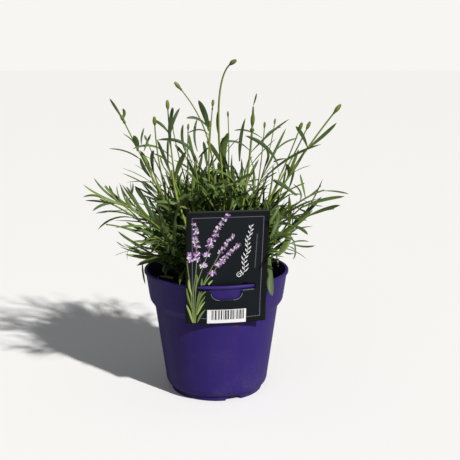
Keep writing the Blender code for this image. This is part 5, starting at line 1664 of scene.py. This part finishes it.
def cut_edges():
    """Pale cut card showing under the half-round notch and under the slot's right end."""
    notch = notch_outline(NOTCH_HALF_WIDTH + 0.0003, NOTCH_DEPTH + 0.0003) * 1000
    under = np.concatenate([notch * [-1, 1], notch[::-1]])
    low = -SLOT_HEIGHT * 1000 - 0.3
    right = np.array([[NOTCH_HALF_WIDTH * 1000 + 0.6, low], [SLOT_HALF_LENGTH * 1000 - 1.5, low]])
    return [ink_strip(under, 0.17, CUT_EDGE, 2), ink_strip(rounded_path(right, 12), 0.14, CUT_EDGE, 2)]


def printed_marks():
    """Every printed mark on the card, as (places, faces, ink, layer)."""
    draw = np.random.RandomState(61)
    marks = []
    for line in FRAME_LINES:
        marks.append(ink_strip(rounded_path(line, 40), 0.21, LILAC_INK, 1))
    for line in PRINTED_STEMS:
        marks.append(ink_strip(rounded_path(line, 60), 0.34, STEM_INK, 2))
    lens = np.sin(np.linspace(0.03, 0.985, 24) * math.pi) ** 0.7
    for index, line in enumerate(PRINTED_LEAVES):
        path = rounded_path(line, 24)
        dark, light = LEAF_INKS[:2] if index % 3 else LEAF_INKS[1:]
        marks.append(ink_strip(path, 1.05 * lens, dark, 3 + 0.1 * index))
        marks.append(ink_strip(path + [0.25, 0.1], 0.42 * lens, light, 4.2 + 0.1 * index))
    layer = 6
    for spike in PRINTED_SPIKES:
        for order, centre in enumerate(spike):
            marks += flower_marks(centre, 2.2 + 0.30 * order, 2.2, 18, draw, layer)
            layer += 0.5
    for centre in PRINTED_CLUSTERS:
        marks += flower_marks(centre, 4.4, 2.9, 34, draw, layer)
        layer += 0.5
    marks += sprig_marks()
    wave = np.column_stack([0.45 * np.sin(np.linspace(0, 150, 240)), np.zeros(240)])
    marks.append(ink_strip(rounded_path(SMALL_ORNAMENT, 240) + wave, 0.12, (0.20, 0.20, 0.22), 3))
    marks += cut_edges()
    (left, low), (right, high) = STOCK_PANEL
    for column in np.arange(0, 12) * (right - left) / 12 + left:
        middle = column + (right - left) / 24
        marks.append(ink_strip(upright(middle, low, high, 8), (right - left) / 24, WHITE_INK, 3))
    (left, low), (right, high) = STOCK_BARS
    edges = left + np.cumsum(draw.choice([0.45, 0.80, 1.15], 60)) - 0.5
    for start, end in zip(edges[0::2], edges[1::2]):
        if end < right:
            marks.append(ink_strip(upright((start + end) / 2, low, high, 6), (end - start) / 2, BAR_INK, 5))
    return marks


def card_ink():
    """Offset ink on plastic card: each mark's own colour, mottled a little, with the card's soft gloss."""
    material, tree, shader = new_material("card_ink")
    layer = tree.nodes.new("ShaderNodeAttribute")
    layer.attribute_name = "ink"
    grain = use_group(tree, GRAIN, Coarse_Scale=900.0, Fine_Scale=3200.0, Fine_Share=0.5)
    worn = stepped(tree, grain["Height"], 0.5, 1.0)
    mottled = tinted(tree, layer.outputs["Color"], worn, 0.14, (0.02, 0.02, 0.03, 1))
    link(tree, mottled, shader.inputs["Base Color"])
    shader.inputs["Roughness"].default_value = 0.42
    shader.inputs["Specular IOR Level"].default_value = 0.3
    return material


def ink_shape():
    """All marks laid on the card's bent face, each lifted by its layer, less any face with a corner in the
    slot, in the round-cornered notch below it or off the card."""
    points, faces, inks, first = [], [], [], 0
    corner = NOTCH_CORNER * 1000
    for places, mark_faces, mark_inks, layer in printed_marks():
        u, v = places[:, 0], places[:, 1]
        off_middle = np.abs(u)
        in_slot = (off_middle < SLOT_HALF_LENGTH * 1000 + 0.2) & (v < 0.3) & (v > -SLOT_HEIGHT * 1000 - 0.1)
        side, deep = off_middle - NOTCH_HALF_WIDTH * 1000, -v - NOTCH_DEPTH * 1000
        past_corner = np.hypot(np.maximum(0, side + corner), np.maximum(0, deep + corner)) > corner + 0.1
        in_notch = (side < 0.1) & (deep < 0.1) & (v < 0.3) & ~past_corner
        off_side = off_middle > LABEL_HALF_WIDTH * 1000 - 0.2
        off_end = (v > LABEL_ABOVE_SLOT * 1000 - 0.2) | (v < -LABEL_BELOW_SLOT * 1000 + 0.1)
        dropped = in_slot | in_notch | off_side | off_end
        proud = LABEL_THICKNESS / 2 + INK_LIFT + INK_STEP * layer
        points.append(card_points(u / 1000, v / 1000, False, proud))
        kept = mark_faces[~dropped[mark_faces].any(axis=1)]
        faces += (kept + first).tolist()
        inks.append(mark_inks)
        first += len(places)
    return np.concatenate(points), faces, np.concatenate(inks)


ink_points, ink_faces, ink_colours = ink_shape()
ink = add_piece("card_printing", ink_points, ink_faces, [card_ink()], 40, ink=ink_colours)
